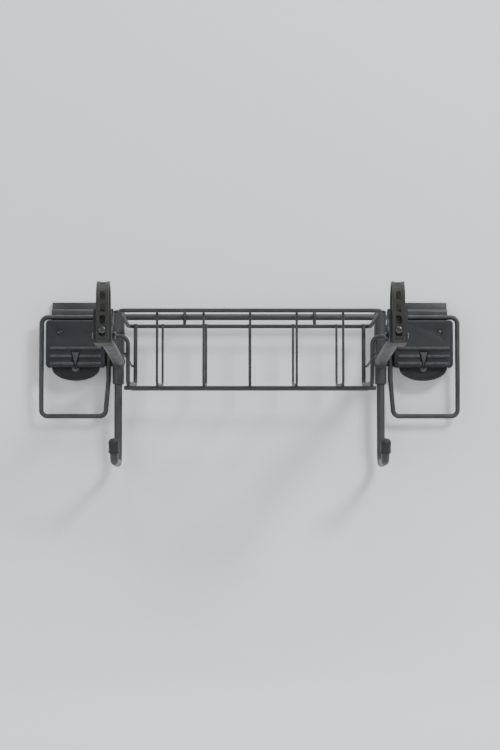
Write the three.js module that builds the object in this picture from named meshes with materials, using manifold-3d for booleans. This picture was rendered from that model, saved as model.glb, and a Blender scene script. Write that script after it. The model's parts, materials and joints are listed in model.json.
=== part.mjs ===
// Bicycle wall rack that hangs on a slatted wall panel, with a wire basket between its arms.
// Millimetres, +Z up, front towards -Y. y = 0 is the face of the wall panel, z = 0 the middle of the
// groove that the rack hangs from, and x = 0 the middle of the rack.
import * as THREE from "three";
import { mergeVertices } from "three/addons/utils/BufferGeometryUtils.js";
import Module from "manifold-3d";

const wasm = await Module();
wasm.setup();

// Wall panel that the rack fits
const GROOVE_PITCH = 76.2;
const GROOVE_MOUTH = 10;
const PANEL_LIP = 6;

// Overall sizes
const ARM_SPACING = 327;
const TUBE_REACH = 320; // wall face to the middle of the carried bicycle tube
const CARRIED_TUBE = 35; // largest bicycle tube that the cradles take

// Gaps
const GAP = 0.3; // between pieces that touch
const FIT = 0.4; // round pieces that turn, slide or plug in
const SPARE = 1; // how far a cutter runs past a face, or a joined part into its neighbour

// Round stock
const TUBE = 14.4;
const TUBE_WALL = 1.8;
const LOOP_ROD = 6;
const RAIL_ROD = 8;
const RIM_ROD = 5;
const WIRE = 3;
const BASKET_HOOK_ROD = 4;

// Wall plate, its cover and the turning lock
const PLATE_THICKNESS = 3;
const PLATE_TAB = 20; // round tab that carries the lock
const COVER_WIDTH = 75;
const COVER_HEIGHT = 60;
const COVER_DEPTH = 11;
const COVER_WALL = 2.5;
const COVER_CORNER = 5;
const COVER_SCREW = { x: 20, drop: 16, shaft: 3, head: 6.4, headDepth: 2, post: 9 };
const TONGUE = { width: 62, rise: 9 };
const RIB_DROPS = [36, 46, 55];
const RIB = { width: 66, height: 4.4, depth: 2, root: 0.5 };
const POINTER = { width: 9, drop: 41, height: 17, depth: 3 };
const CAM_FLANGE = { length: 60, height: 32, thickness: 4.5 };
const HUB_PLAY = 0.5; // all round the lock's hub, in the groove
const CAM_DOG = { length: 22, thickness: 4 };
const DOG_EDGE = 1; // flat left at each end of the lock's bar
const CAM_SCREW = { shaft: 4, head: 10, headDepth: 2.4 };

// Bracing loop round the plate
const LOOP_BEND = 8;
const LOOP_INNER_GAP = 0.5;
const LOOP_OUTER_GAP = 2.5;
const LOOP_TAIL = 60; // lock's pivot down to the loop's bottom rod
const LOOP_LEAN = 4; // inner side's foot, towards the plate
const LOOP_GAP_AT_TOP = 7; // inner side's top, below the top rod
const UPRIGHT_TO_LOOP = 2.3;
const UPRIGHT_OVER_LOOP = 2; // top of the upright above the loop's top rod

// Upright, arm and accessory hook
const UPRIGHT_LENGTH = 89;
const ARM_DROP = 61; // top of the upright down to the arm, at the wall
const ARM_RISE = 6; // from the wall to the cradle
const HOOK = { plug: 14, drop: 99, reach: 84, tipRise: 24, tipReach: 16, bend: 15 };
const CAP_HEIGHT = 3.6;
const CAP_PLUG = 8;
const TIP_CAP = { wall: 1.5, length: 16 };

// Cradle and strap
const CRADLE_WIDTH = 20;
const SEAT_PLAY = 0.5;
const PAD = 2.2;
const SEAT_FLOOR = 7.5; // between the arm and the seat
const CRADLE_UNDER = 3.5; // below the arm
const FRONT_WALL = 10; // in front of the arm's end
const CRADLE_CHAMFER = 4;
const REAR_HORN = 5.5; // tops of the horns, below the carried tube's axis
const FRONT_HORN = 9.5;
const STRAP = { width: 14, thickness: 3.5, slotWidth: 6.6, slotLength: 9.6, slotPitch: 13.4 };
const PIN = { diameter: 5, drop: 12.5, eyeWall: 3 };
const EAR = 7;
const REAR_WALL = 2; // behind the ears
const STUD = { diameter: 5, rise: 3, root: 7, proud: 0.3 };
const TAIL_END = 5.5; // strap left below the slot that the stud is in
const STRAP_CORNER = 0.8;
const CROSS_SCREW = { shaft: 4, head: 8, headDepth: 3, nut: 8, setback: 10 };

// Basket
const BASKET_DEPTH = 196;
const BASKET_DROP = 12.3; // basket rim below the cross rail
const BASKET_HEIGHT = 73.7; // rim down to the floor wires at the back
const FLOOR_FALL = 12; // floor wires, from back to front
const BASKET_SIDE_GAP = 2.8;
const BASKET_BACK_GAP = 1; // between the cross rail and the rim, from above
const RIM_BEND = 8;
const WIRES = 5;
const WIRE_PITCH = 54;
const WIRE_BEND = 9;
const END_INSET = 1.3;
const FLOOR_RAIL_SETBACK = 11;
const SIDE_WIRE_DROP = 50;
const FOOT_OVERHANG = 6;
const BASKET_HOOK_X = 81;
const ARCH_FLAT = 0.1; // straight left at the top of each basket hook

// Places that follow from the sizes above
const armX = ARM_SPACING / 2;
const plateX = armX + TUBE / 2 + UPRIGHT_TO_LOOP + LOOP_ROD + LOOP_INNER_GAP + COVER_WIDTH / 2;
const plateFront = -PLATE_THICKNESS - GAP;
const camZ = -GROOVE_PITCH;
const coverTop = camZ + COVER_HEIGHT;
const loopTop = coverTop + LOOP_INNER_GAP + LOOP_ROD / 2;
const uprightY = plateFront - TUBE / 2;
const uprightTop = loopTop + LOOP_ROD / 2 + UPRIGHT_OVER_LOOP;
const armWallZ = uprightTop - ARM_DROP;
const seatY = -TUBE_REACH;
const seatRadius = CARRIED_TUBE / 2 + SEAT_PLAY + PAD + GAP;
const armAt = (y) => armWallZ + (ARM_RISE * (y - uprightY)) / (seatY - uprightY);
const seatZ = armAt(seatY) + TUBE / 2 + GAP + SEAT_FLOOR + seatRadius;
const cradleFront = seatY - seatRadius + GAP;
const armEnd = cradleFront + FRONT_WALL;
const eyeRadius = PIN.diameter / 2 + FIT + PIN.eyeWall - GAP;
const pinY = seatY + seatRadius + eyeRadius;
const pinZ = seatZ - PIN.drop;
const bendY = seatY - seatRadius - STRAP.thickness / 2;
const studZ = armAt(seatY) + STUD.rise;
const rimZ = loopTop - BASKET_DROP;
const rimHalf = armX - TUBE / 2 - BASKET_SIDE_GAP - RIM_ROD / 2;
const rimBack = uprightY - RAIL_ROD / 2 - BASKET_BACK_GAP - RIM_ROD / 2;
const rimFront = rimBack - BASKET_DEPTH;

const steel = { color: 0x474b4d, roughness: 0.5, metalness: 0.6 };
const wireSteel = { color: 0x3b3f41, roughness: 0.5, metalness: 0.6 };
const coverPlastic = { color: 0x383c40, roughness: 0.6, metalness: 0 };
const camPlastic = { color: 0x2b2d2f, roughness: 0.5, metalness: 0 };
const rubber = { color: 0x2a2b2b, roughness: 0.85, metalness: 0 };
const blackZinc = { color: 0x38393b, roughness: 0.4, metalness: 0.8 };

// The centre line of a bent rod: straight runs, with each corner rounded to an arc.
class BentLine extends THREE.Curve {
  constructor(corners, radius, arcSteps = 4) {
    super();
    this.stations = [];
    const points = corners.map((corner) => new THREE.Vector3(...corner));
    const heading = (i) => points[i + 1].clone().sub(points[i]).normalize();
    points.forEach((corner, i) => {
      if (i === 0 || i === points.length - 1) {
        this.stations.push({ point: corner, tangent: heading(Math.max(0, i - 1)) });
        return;
      }
      const before = heading(i - 1);
      const turn = before.angleTo(heading(i));
      const axis = before.clone().cross(heading(i)).normalize();
      const inward = axis.clone().cross(before);
      const start = corner.clone().addScaledVector(before, -radius * Math.tan(turn / 2));
      const centre = start.addScaledVector(inward, radius);
      for (let k = 0; k <= arcSteps; k += 1) {
        const angle = (turn * k) / arcSteps;
        const spoke = inward.clone().multiplyScalar(-radius).applyAxisAngle(axis, angle);
        const tangent = before.clone().applyAxisAngle(axis, angle);
        this.stations.push({ point: centre.clone().add(spoke), tangent });
      }
    });
    this.steps = this.stations.length - 1;
  }

  stationAt(u) {
    return this.stations[Math.round(u * this.steps)];
  }

  getPointAt(u, target = new THREE.Vector3()) {
    return target.copy(this.stationAt(u).point);
  }

  getTangentAt(u, target = new THREE.Vector3()) {
    return target.copy(this.stationAt(u).tangent);
  }
}

function ring(radius, sides) {
  return Array.from({ length: sides }, (_, i) => {
    const angle = ((i + 0.5) * 2 * Math.PI) / sides;
    return new THREE.Vector2(radius * Math.cos(angle), radius * Math.sin(angle));
  });
}

// A round rod or tube along a bent line.
function rod(corners, diameter, { bend = 1, sides = 8, wall = 0, arcSteps = 4 } = {}) {
  const path = new BentLine(corners, bend, arcSteps);
  const section = new THREE.Shape(ring(diameter / 2, sides));
  if (wall > 0) {
    section.holes.push(new THREE.Path(ring(diameter / 2 - wall, sides)));
  }
  return new THREE.ExtrudeGeometry(section, { steps: path.steps, extrudePath: path });
}

// Shapes are drawn in x and z and pushed towards the front, or in y and z and pushed across.
const FORWARD = new THREE.Matrix4().makeBasis(
  new THREE.Vector3(1, 0, 0),
  new THREE.Vector3(0, 0, 1),
  new THREE.Vector3(0, -1, 0),
);
const ACROSS = new THREE.Matrix4().makeBasis(
  new THREE.Vector3(0, 1, 0),
  new THREE.Vector3(0, 0, 1),
  new THREE.Vector3(1, 0, 0),
);

function forward(shape, back, depth, curveSegments = 6) {
  const geometry = new THREE.ExtrudeGeometry(shape, { depth, bevelEnabled: false, curveSegments });
  return geometry.applyMatrix4(FORWARD).translate(0, back, 0);
}

function across(shape, middle, width, curveSegments = 6) {
  const options = { depth: width, bevelEnabled: false, curveSegments };
  const geometry = new THREE.ExtrudeGeometry(shape, options);
  return geometry.applyMatrix4(ACROSS).translate(middle - width / 2, 0, 0);
}

function box([x0, x1], [y0, y1], [z0, z1]) {
  const geometry = new THREE.BoxGeometry(x1 - x0, y1 - y0, z1 - z0);
  return geometry.translate((x0 + x1) / 2, (y0 + y1) / 2, (z0 + z1) / 2);
}

function roundedRect(x0, x1, z0, z1, r) {
  const shape = new THREE.Shape();
  shape.moveTo(x0 + r, z0);
  shape.lineTo(x1 - r, z0);
  shape.absarc(x1 - r, z0 + r, r, -Math.PI / 2, 0, false);
  shape.lineTo(x1, z1 - r);
  shape.absarc(x1 - r, z1 - r, r, 0, Math.PI / 2, false);
  shape.lineTo(x0 + r, z1);
  shape.absarc(x0 + r, z1 - r, r, Math.PI / 2, Math.PI, false);
  shape.lineTo(x0, z0 + r);
  shape.absarc(x0 + r, z0 + r, r, Math.PI, 1.5 * Math.PI, false);
  return shape;
}

// Joining and cutting
function solid(geometry) {
  const bare = geometry.clone();
  bare.deleteAttribute("normal");
  bare.deleteAttribute("uv");
  const welded = mergeVertices(bare, 1e-4);
  const vertProperties = new Float32Array(welded.attributes.position.array);
  const triVerts = new Uint32Array(welded.index.array);
  return new wasm.Manifold(new wasm.Mesh({ numProp: 3, vertProperties, triVerts }));
}

function meshOf(manifold) {
  const { vertProperties, triVerts } = manifold.getMesh();
  const geometry = new THREE.BufferGeometry();
  geometry.setAttribute("position", new THREE.BufferAttribute(vertProperties, 3));
  geometry.setIndex(new THREE.BufferAttribute(triVerts, 1));
  geometry.computeVertexNormals();
  return geometry;
}

function cut(geometry, ...tools) {
  return meshOf(tools.reduce((body, tool) => body.subtract(solid(tool)), solid(geometry)));
}

function join(...pieces) {
  return meshOf(pieces.map(solid).reduce((body, piece) => body.add(piece)));
}

function piece(group, name, geometry, look) {
  const mesh = new THREE.Mesh(geometry, new THREE.MeshStandardMaterial(look));
  mesh.name = name;
  group.add(mesh);
}

// Steel plate on the wall: its top hooks into the upper groove, and a wing carries the upright.
function mountPlate() {
  const half = COVER_WIDTH / 2 - COVER_WALL;
  const plateTop = coverTop - COVER_WALL;
  const plateBottom = camZ + COVER_WALL;
  const face = [-PLATE_THICKNESS, 0];
  const tongueZ = -GROOVE_MOUTH / 2 + GAP;
  const back = PANEL_LIP + GAP;
  const width = [plateX - TONGUE.width / 2, plateX + TONGUE.width / 2];
  const step = [tongueZ, tongueZ + PLATE_THICKNESS];
  const parts = [
    box(width, face, [plateTop - SPARE, step[1]]),
    box(width, [-SPARE, back + PLATE_THICKNESS], step),
    box(width, [back, back + PLATE_THICKNESS], [step[0], step[1] + TONGUE.rise]),
    box([plateX - half, plateX + half], face, [plateBottom, plateTop]),
    box([armX - TUBE / 2, plateX], face, [plateBottom, plateTop - COVER_WALL]),
    rod([[plateX, 0, camZ], [plateX, -PLATE_THICKNESS, camZ]], PLATE_TAB, { sides: 20 }),
    box([plateX - PLATE_TAB / 2, plateX + PLATE_TAB / 2], face, [camZ, plateBottom + SPARE]),
  ];
  const screwX = plateX + COVER_SCREW.x;
  const screwZ = coverTop - COVER_SCREW.drop;
  const screwHole = COVER_SCREW.shaft + 2 * GAP;
  const through = [SPARE, -PLATE_THICKNESS - SPARE];
  return cut(
    join(...parts),
    rod(through.map((y) => [plateX, y, camZ]), hub() + 2 * FIT, { sides: 16 }),
    rod(through.map((y) => [screwX, y, screwZ]), screwHole),
  );
}

// Diameter of the lock's hub, which passes through the mouth of the groove.
function hub() {
  return GROOVE_MOUTH - 2 * HUB_PLAY;
}

function cover() {
  const x0 = plateX - COVER_WIDTH / 2;
  const x1 = plateX + COVER_WIDTH / 2;
  const front = plateFront - COVER_DEPTH;
  const inner = front + COVER_WALL;
  const shell = forward(roundedRect(x0, x1, camZ, coverTop, COVER_CORNER), plateFront, COVER_DEPTH);
  const hollow = box(
    [x0 + COVER_WALL, x1 - COVER_WALL],
    [inner, plateFront + SPARE],
    [camZ + COVER_WALL, coverTop - COVER_WALL],
  );
  const swing = CAM_FLANGE.length / 2 + FIT + SPARE;
  const mouthDepth = CAM_FLANGE.thickness + GAP + CAM_SCREW.headDepth + FIT;
  const mouth = box(
    [plateX - swing, plateX + swing],
    [plateFront - mouthDepth, plateFront + SPARE],
    [camZ - SPARE, camZ + COVER_WALL + SPARE],
  );
  const ribs = RIB_DROPS.map((drop) => {
    const section = new THREE.Shape();
    section.moveTo(front + RIB.root, coverTop - drop - RIB.height / 2);
    section.lineTo(front + RIB.root, coverTop - drop + RIB.height / 2);
    section.lineTo(front, coverTop - drop + RIB.height / 2);
    section.absellipse(
      front, coverTop - drop, RIB.depth, RIB.height / 2, Math.PI / 2, 1.5 * Math.PI, false,
    );
    return across(section, plateX, RIB.width, 3);
  });
  const arrow = new THREE.Shape();
  arrow.moveTo(plateX - POINTER.width / 2, coverTop - POINTER.drop);
  arrow.lineTo(plateX, coverTop - POINTER.drop - POINTER.height);
  arrow.lineTo(plateX + POINTER.width / 2, coverTop - POINTER.drop);
  const pointer = forward(arrow, front + RIB.root, RIB.root + POINTER.depth);
  const screwX = plateX + COVER_SCREW.x;
  const screwZ = coverTop - COVER_SCREW.drop;
  const postEnds = [[screwX, plateFront, screwZ], [screwX, inner - SPARE, screwZ]];
  const post = rod(postEnds, COVER_SCREW.post, { sides: 12 });
  const holeEnds = [[screwX, SPARE, screwZ], [screwX, front - SPARE, screwZ]];
  const hole = rod(holeEnds, COVER_SCREW.shaft + 2 * GAP);
  const recess = rod(
    [[screwX, front + COVER_SCREW.headDepth + GAP, screwZ], [screwX, front - SPARE, screwZ]],
    COVER_SCREW.head + 2 * GAP,
    { sides: 12 },
  );
  return cut(join(cut(shell, hollow), ...ribs, pointer, post), mouth, hole, recess);
}

function coverScrew() {
  const x = plateX + COVER_SCREW.x;
  const z = coverTop - COVER_SCREW.drop;
  const front = plateFront - COVER_DEPTH;
  const seat = front + COVER_SCREW.headDepth;
  const head = rod([[x, seat, z], [x, front, z]], COVER_SCREW.head, { sides: 12 });
  const shaft = rod([[x, -PLATE_THICKNESS + SPARE, z], [x, seat - SPARE, z]], COVER_SCREW.shaft);
  return join(head, shaft);
}

// The turning lock: an oval finger flange in front, and a hub through the plate.
function cam() {
  const oval = new THREE.Shape();
  oval.absellipse(plateX, camZ, CAM_FLANGE.length / 2, CAM_FLANGE.height / 2, 0, 2 * Math.PI, false);
  const flange = forward(oval, plateFront, CAM_FLANGE.thickness, 12);
  const hubEnds = [[plateX, PANEL_LIP + GAP, camZ], [plateX, plateFront - SPARE, camZ]];
  const front = plateFront - CAM_FLANGE.thickness;
  const bore = [[plateX, PANEL_LIP + 2 * SPARE, camZ], [plateX, front - SPARE, camZ]];
  return cut(
    join(flange, rod(hubEnds, hub(), { sides: 16 })),
    rod(bore, CAM_SCREW.shaft + 2 * GAP),
  );
}

function camDog() {
  const back = PANEL_LIP + 2 * GAP + CAM_DOG.thickness;
  const half = hub() / 2;
  const tall = CAM_DOG.length / 2;
  const bar = roundedRect(plateX - half, plateX + half, camZ - tall, camZ + tall, half - DOG_EDGE);
  const hole = [[plateX, back + SPARE, camZ], [plateX, PANEL_LIP, camZ]];
  return cut(forward(bar, back, CAM_DOG.thickness, 3), rod(hole, CAM_SCREW.shaft + 2 * GAP));
}

function camScrew() {
  const seat = plateFront - CAM_FLANGE.thickness - GAP;
  const end = PANEL_LIP + 2 * GAP + CAM_DOG.thickness;
  const head = [[plateX, seat, camZ], [plateX, seat - CAM_SCREW.headDepth, camZ]];
  return join(
    rod(head, CAM_SCREW.head, { sides: 12 }),
    rod([[plateX, end, camZ], [plateX, seat - SPARE, camZ]], CAM_SCREW.shaft),
  );
}

// Loop round the plate. Its bottom rod bears on the wall.
function loopFrame() {
  const inner = plateX - COVER_WIDTH / 2 - LOOP_INNER_GAP - LOOP_ROD / 2;
  const outer = plateX + COVER_WIDTH / 2 + LOOP_OUTER_GAP + LOOP_ROD / 2;
  const top = plateFront - LOOP_ROD / 2;
  const low = -GAP - LOOP_ROD / 2;
  const bottom = camZ - LOOP_TAIL;
  const knee = camZ - LOOP_TAIL / 4;
  const corners = [
    [armX + TUBE / 2 + GAP, top, loopTop],
    [outer, top, loopTop],
    [outer, top, knee],
    [outer, low, bottom],
    [inner + LOOP_LEAN, low, bottom],
    [inner, top, knee],
    [inner, top, loopTop - LOOP_ROD / 2 - LOOP_GAP_AT_TOP],
  ];
  return rod(corners, LOOP_ROD, { bend: LOOP_BEND });
}

function upright() {
  const ends = [[armX, uprightY, uprightTop - UPRIGHT_LENGTH], [armX, uprightY, uprightTop]];
  return rod(ends, TUBE, { sides: 16, wall: TUBE_WALL });
}

function uprightCap() {
  const head = [[armX, uprightY, uprightTop + GAP], [armX, uprightY, uprightTop + GAP + CAP_HEIGHT]];
  const plug = [[armX, uprightY, uprightTop - CAP_PLUG], [armX, uprightY, uprightTop + SPARE]];
  return join(
    rod(head, TUBE, { sides: 16 }),
    rod(plug, TUBE - 2 * TUBE_WALL - 2 * GAP, { sides: 12 }),
  );
}

// The accessory hook plugs into the upright's foot.
const hookRod = TUBE - 2 * TUBE_WALL - 2 * FIT;
const hookFoot = uprightTop - UPRIGHT_LENGTH - HOOK.drop;
const hookTipStart = [armX, uprightY - HOOK.reach, hookFoot];
const hookTipEnd = [armX, uprightY - HOOK.reach - HOOK.tipReach, hookFoot + HOOK.tipRise];

function alongTip(distance) {
  const start = new THREE.Vector3(...hookTipStart);
  const end = new THREE.Vector3(...hookTipEnd);
  const heading = end.clone().sub(start).normalize();
  return end.addScaledVector(heading, distance).toArray();
}

function hook() {
  const top = [armX, uprightY, uprightTop - UPRIGHT_LENGTH + HOOK.plug];
  const corners = [top, [armX, uprightY, hookFoot], hookTipStart, hookTipEnd];
  return rod(corners, hookRod, { bend: HOOK.bend, sides: 12 });
}

function hookTip() {
  const outer = hookRod + 2 * (GAP + TIP_CAP.wall);
  const sleeve = rod([alongTip(-TIP_CAP.length), alongTip(TIP_CAP.wall + GAP)], outer, { sides: 12 });
  const bore = rod([alongTip(-TIP_CAP.length - SPARE), alongTip(GAP)], hookRod + 2 * GAP, { sides: 12 });
  return cut(sleeve, bore);
}

const crossScrewY = seatY + CROSS_SCREW.setback;

function crossHole(diameter) {
  const z = armAt(crossScrewY);
  const reach = CRADLE_WIDTH;
  return rod([[armX - reach, crossScrewY, z], [armX + reach, crossScrewY, z]], diameter);
}

function armLine(y0, y1) {
  return [[armX, y0, armAt(y0)], [armX, y1, armAt(y1)]];
}

function arm() {
  const tube = rod(armLine(uprightY, armEnd), TUBE, { sides: 16, wall: TUBE_WALL });
  const cope = [[armX, uprightY, armWallZ - TUBE], [armX, uprightY, armWallZ + TUBE]];
  return cut(
    tube,
    rod(cope, TUBE + 2 * GAP, { sides: 16 }),
    crossHole(CROSS_SCREW.shaft + 2 * GAP),
  );
}

// Moulded cradle on the end of the arm, with a round seat and a slot for the strap's eye.
function cradle() {
  const bottom = armAt(seatY) - TUBE / 2 - CRADLE_UNDER;
  const rear = pinY + EAR + REAR_WALL;
  const rearTop = seatZ - REAR_HORN;
  const frontTop = seatZ - FRONT_HORN;
  const rearAngle = -Math.asin(REAR_HORN / seatRadius);
  const frontAngle = -Math.PI + Math.asin(FRONT_HORN / seatRadius);
  const outline = new THREE.Shape();
  outline.moveTo(cradleFront + CRADLE_CHAMFER, bottom);
  outline.lineTo(rear, bottom);
  outline.lineTo(rear, pinZ - EAR);
  outline.lineTo(pinY + EAR, pinZ);
  outline.absarc(pinY, rearTop - EAR, EAR, 0, Math.PI / 2, false);
  outline.absarc(seatY, seatZ, seatRadius, rearAngle, frontAngle, true);
  outline.lineTo(cradleFront, frontTop);
  outline.lineTo(cradleFront, bottom + CRADLE_CHAMFER);
  const slotHalf = STRAP.width / 2 + GAP;
  const slot = box(
    [armX - slotHalf, armX + slotHalf],
    [pinY - eyeRadius - GAP, rear + SPARE],
    [pinZ - eyeRadius - FIT, seatZ],
  );
  const armBore = rod(armLine(rear + TUBE / 2, armEnd - GAP), TUBE + 2 * GAP, { sides: 16 });
  const pinHole = [[armX - CRADLE_WIDTH, pinY, pinZ], [armX + CRADLE_WIDTH, pinY, pinZ]];
  const studEnd = cradleFront + STUD.root + GAP;
  const studHole = [[armX, studEnd, studZ], [armX, cradleFront - SPARE, studZ]];
  return cut(
    across(outline, armX, CRADLE_WIDTH, 10),
    slot,
    armBore,
    rod(pinHole, PIN.diameter + 2 * GAP, { sides: 12 }),
    rod(studHole, STUD.diameter + 2 * GAP, { sides: 12 }),
    crossHole(CROSS_SCREW.shaft + 2 * GAP),
  );
}

function cradlePad() {
  const outer = seatRadius - GAP;
  const rearAngle = -Math.asin(REAR_HORN / outer);
  const frontAngle = -Math.PI + Math.asin(FRONT_HORN / outer);
  const section = new THREE.Shape();
  section.absarc(seatY, seatZ, outer, frontAngle, rearAngle, false);
  section.absarc(seatY, seatZ, outer - PAD, rearAngle, frontAngle, true);
  return across(section, armX, CRADLE_WIDTH, 10);
}

function strapPin() {
  const half = CRADLE_WIDTH / 2;
  return rod([[armX - half, pinY, pinZ], [armX + half, pinY, pinZ]], PIN.diameter, { sides: 12 });
}

function strapStud() {
  const tip = cradleFront - GAP - STRAP.thickness - STUD.proud;
  return rod([[armX, cradleFront + STUD.root, studZ], [armX, tip, studZ]], STUD.diameter, { sides: 12 });
}

function crossScrew() {
  const z = armAt(crossScrewY);
  const side = armX + CRADLE_WIDTH / 2 + GAP;
  const end = armX - CRADLE_WIDTH / 2 - CROSS_SCREW.headDepth;
  const shaft = [[end, crossScrewY, z], [side + SPARE, crossScrewY, z]];
  const head = [[side, crossScrewY, z], [side + CROSS_SCREW.headDepth, crossScrewY, z]];
  return join(rod(shaft, CROSS_SCREW.shaft), rod(head, CROSS_SCREW.head, { sides: 12 }));
}

function crossNut() {
  const z = armAt(crossScrewY);
  const side = armX - CRADLE_WIDTH / 2 - GAP;
  const length = [[side, crossScrewY, z], [side - CROSS_SCREW.headDepth, crossScrewY, z]];
  const wall = (CROSS_SCREW.nut - CROSS_SCREW.shaft) / 2 - GAP;
  return rod(length, CROSS_SCREW.nut, { sides: 6, wall });
}

function slotAt(y, z, angle) {
  const half = STRAP.slotWidth / 2;
  const length = STRAP.slotLength / 2;
  const tool = box([-half, half], [-STRAP.thickness, STRAP.thickness], [-length, length]);
  return tool.rotateX(angle).translate(armX, y, z);
}

// Band of the strap: an eye on the pin, over the carried tube, to the bend at its front.
function strapBand() {
  const outer = seatRadius + STRAP.thickness;
  const rearFace = seatY + outer;
  const section = new THREE.Shape();
  section.absarc(seatY, seatZ, outer, 0, Math.PI, false);
  section.absarc(bendY, seatZ, STRAP.thickness / 2, Math.PI, 2 * Math.PI, false);
  section.absarc(seatY, seatZ, seatRadius, Math.PI, 0, true);
  section.lineTo(seatY + seatRadius, pinZ);
  section.absarc(pinY, pinZ, eyeRadius, Math.PI, 2.5 * Math.PI, false);
  section.lineTo(rearFace, pinZ + eyeRadius);
  const eye = [[armX - STRAP.width, pinY, pinZ], [armX + STRAP.width, pinY, pinZ]];
  const middle = seatRadius + STRAP.thickness / 2;
  const slots = [1, 2].map((count) => {
    const turn = Math.PI - (count * STRAP.slotPitch - STRAP.slotPitch / 3) / middle;
    return slotAt(seatY + middle * Math.cos(turn), seatZ + middle * Math.sin(turn), turn);
  });
  return cut(
    across(section, armX, STRAP.width, 12),
    rod(eye, PIN.diameter + 2 * FIT, { sides: 12 }),
    ...slots,
  );
}

// Tail of the strap: hangs from the bend, with the stud through one of its slots.
function strapTail() {
  const top = seatZ - STRAP.thickness / 2 - GAP;
  const slotTop = studZ + STUD.diameter / 2 + FIT;
  const bottom = slotTop - STRAP.slotLength - TAIL_END;
  const half = STRAP.width / 2;
  const outline = roundedRect(armX - half, armX + half, bottom, top, STRAP_CORNER);
  const body = forward(outline, seatY - seatRadius, STRAP.thickness, 3);
  const slots = [0, 1].map((count) => {
    const middle = slotTop - STRAP.slotLength / 2 + count * STRAP.slotPitch;
    return slotAt(bendY, middle, 0);
  });
  return cut(body, ...slots);
}

function crossRail() {
  const end = armX - TUBE / 2 - GAP;
  return rod([[-end, uprightY, loopTop], [end, uprightY, loopTop]], RAIL_ROD, { sides: 12 });
}

// Height of the basket's floor wires at a distance from the wall.
function floorAt(y) {
  return rimZ - BASKET_HEIGHT - (FLOOR_FALL * (rimBack - y)) / BASKET_DEPTH;
}

function basketRim() {
  const corners = [
    [GAP / 2, rimBack, rimZ],
    [rimHalf, rimBack, rimZ],
    [rimHalf, rimFront, rimZ],
    [-rimHalf, rimFront, rimZ],
    [-rimHalf, rimBack, rimZ],
    [-GAP / 2, rimBack, rimZ],
  ];
  return rod(corners, RIM_ROD, { bend: RIM_BEND });
}

function basketWire(x) {
  const inset = RIM_ROD / 2 + GAP + WIRE / 2;
  const back = rimBack - inset;
  const front = rimFront + inset;
  const top = rimZ + RIM_ROD / 2;
  const corners = [[x, back, top], [x, back, floorAt(back)], [x, front, floorAt(front)], [x, front, top]];
  return rod(corners, WIRE, { bend: WIRE_BEND });
}

const endX = rimHalf - RIM_BEND - END_INSET;

// End frame: its front leg turns out at the top, and rests on the arm.
function basketEnd() {
  const inset = RIM_ROD + GAP;
  const back = rimBack - inset;
  const front = rimFront + inset;
  const lift = (RIM_ROD - WIRE) / 2;
  const foot = armAt(front) + TUBE / 2 + GAP + RIM_ROD / 2;
  const corners = [
    [endX, back, rimZ + RIM_ROD / 2],
    [endX, back, floorAt(back) + lift],
    [endX, front, floorAt(front) + lift],
    [endX, front, foot],
    [armX + FOOT_OVERHANG, front, foot],
  ];
  return rod(corners, RIM_ROD, { bend: WIRE_BEND });
}

function basketSideWire() {
  const x = endX + RIM_ROD / 2 + GAP + WIRE / 2;
  const z = rimZ - SIDE_WIRE_DROP;
  return rod([[x, rimBack, z], [x, rimFront, z]], WIRE);
}

function basketRail(y) {
  const z = floorAt(y) - WIRE / 2 - GAP - RIM_ROD / 2;
  const end = endX + RIM_ROD;
  return rod([[-end, y, z], [end, y, z]], RIM_ROD);
}

// Hook over the cross rail, standing on the basket's rim.
function basketHook(x) {
  const arch = RAIL_ROD / 2 + FIT + BASKET_HOOK_ROD / 2;
  const front = uprightY - arch;
  const back = uprightY + arch;
  const top = loopTop + arch;
  const low = loopTop - arch;
  const foot = rimZ + RIM_ROD / 2 + GAP;
  const corners = [[x, front, foot], [x, front, top], [x, back, top], [x, back, low]];
  return rod(corners, BASKET_HOOK_ROD, { bend: arch - ARCH_FLAT / 2 });
}

const rack = new THREE.Group();

const sidePieces = {
  mount_plate: [mountPlate, steel],
  cover: [cover, coverPlastic],
  cover_screw: [coverScrew, blackZinc],
  cam: [cam, camPlastic],
  cam_dog: [camDog, blackZinc],
  cam_screw: [camScrew, blackZinc],
  loop_frame: [loopFrame, steel],
  upright: [upright, steel],
  upright_cap: [uprightCap, camPlastic],
  hook: [hook, steel],
  hook_tip: [hookTip, rubber],
  arm: [arm, steel],
  cradle: [cradle, coverPlastic],
  cradle_pad: [cradlePad, rubber],
  cradle_screw: [crossScrew, blackZinc],
  cradle_nut: [crossNut, blackZinc],
  strap_pin: [strapPin, blackZinc],
  strap_stud: [strapStud, blackZinc],
  strap_band: [strapBand, rubber],
  strap_tail: [strapTail, rubber],
  basket_end: [basketEnd, wireSteel],
  basket_side_wire: [basketSideWire, wireSteel],
};

for (const [side, mirror] of [["right", 1], ["left", -1]]) {
  const half = new THREE.Group();
  half.scale.x = mirror;
  rack.add(half);
  for (const [name, [make, look]] of Object.entries(sidePieces)) {
    piece(half, `${name}_${side}`, make(), look);
  }
  piece(half, `basket_hook_${side}`, basketHook(BASKET_HOOK_X), wireSteel);
}

piece(rack, "cross_rail", crossRail(), steel);
piece(rack, "basket_rim", basketRim(), wireSteel);
piece(rack, "basket_rail_back", basketRail(rimBack - FLOOR_RAIL_SETBACK - WIRE), wireSteel);
piece(rack, "basket_rail_front", basketRail(rimFront + FLOOR_RAIL_SETBACK + WIRE), wireSteel);
for (let i = 0; i < WIRES; i += 1) {
  piece(rack, `basket_wire_${i + 1}`, basketWire((i - (WIRES - 1) / 2) * WIRE_PITCH), wireSteel);
}

export default rack;
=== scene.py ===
"""Looks of a bicycle wall rack: two locking wall plates, cradle arms with rubber straps and a basket."""

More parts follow.
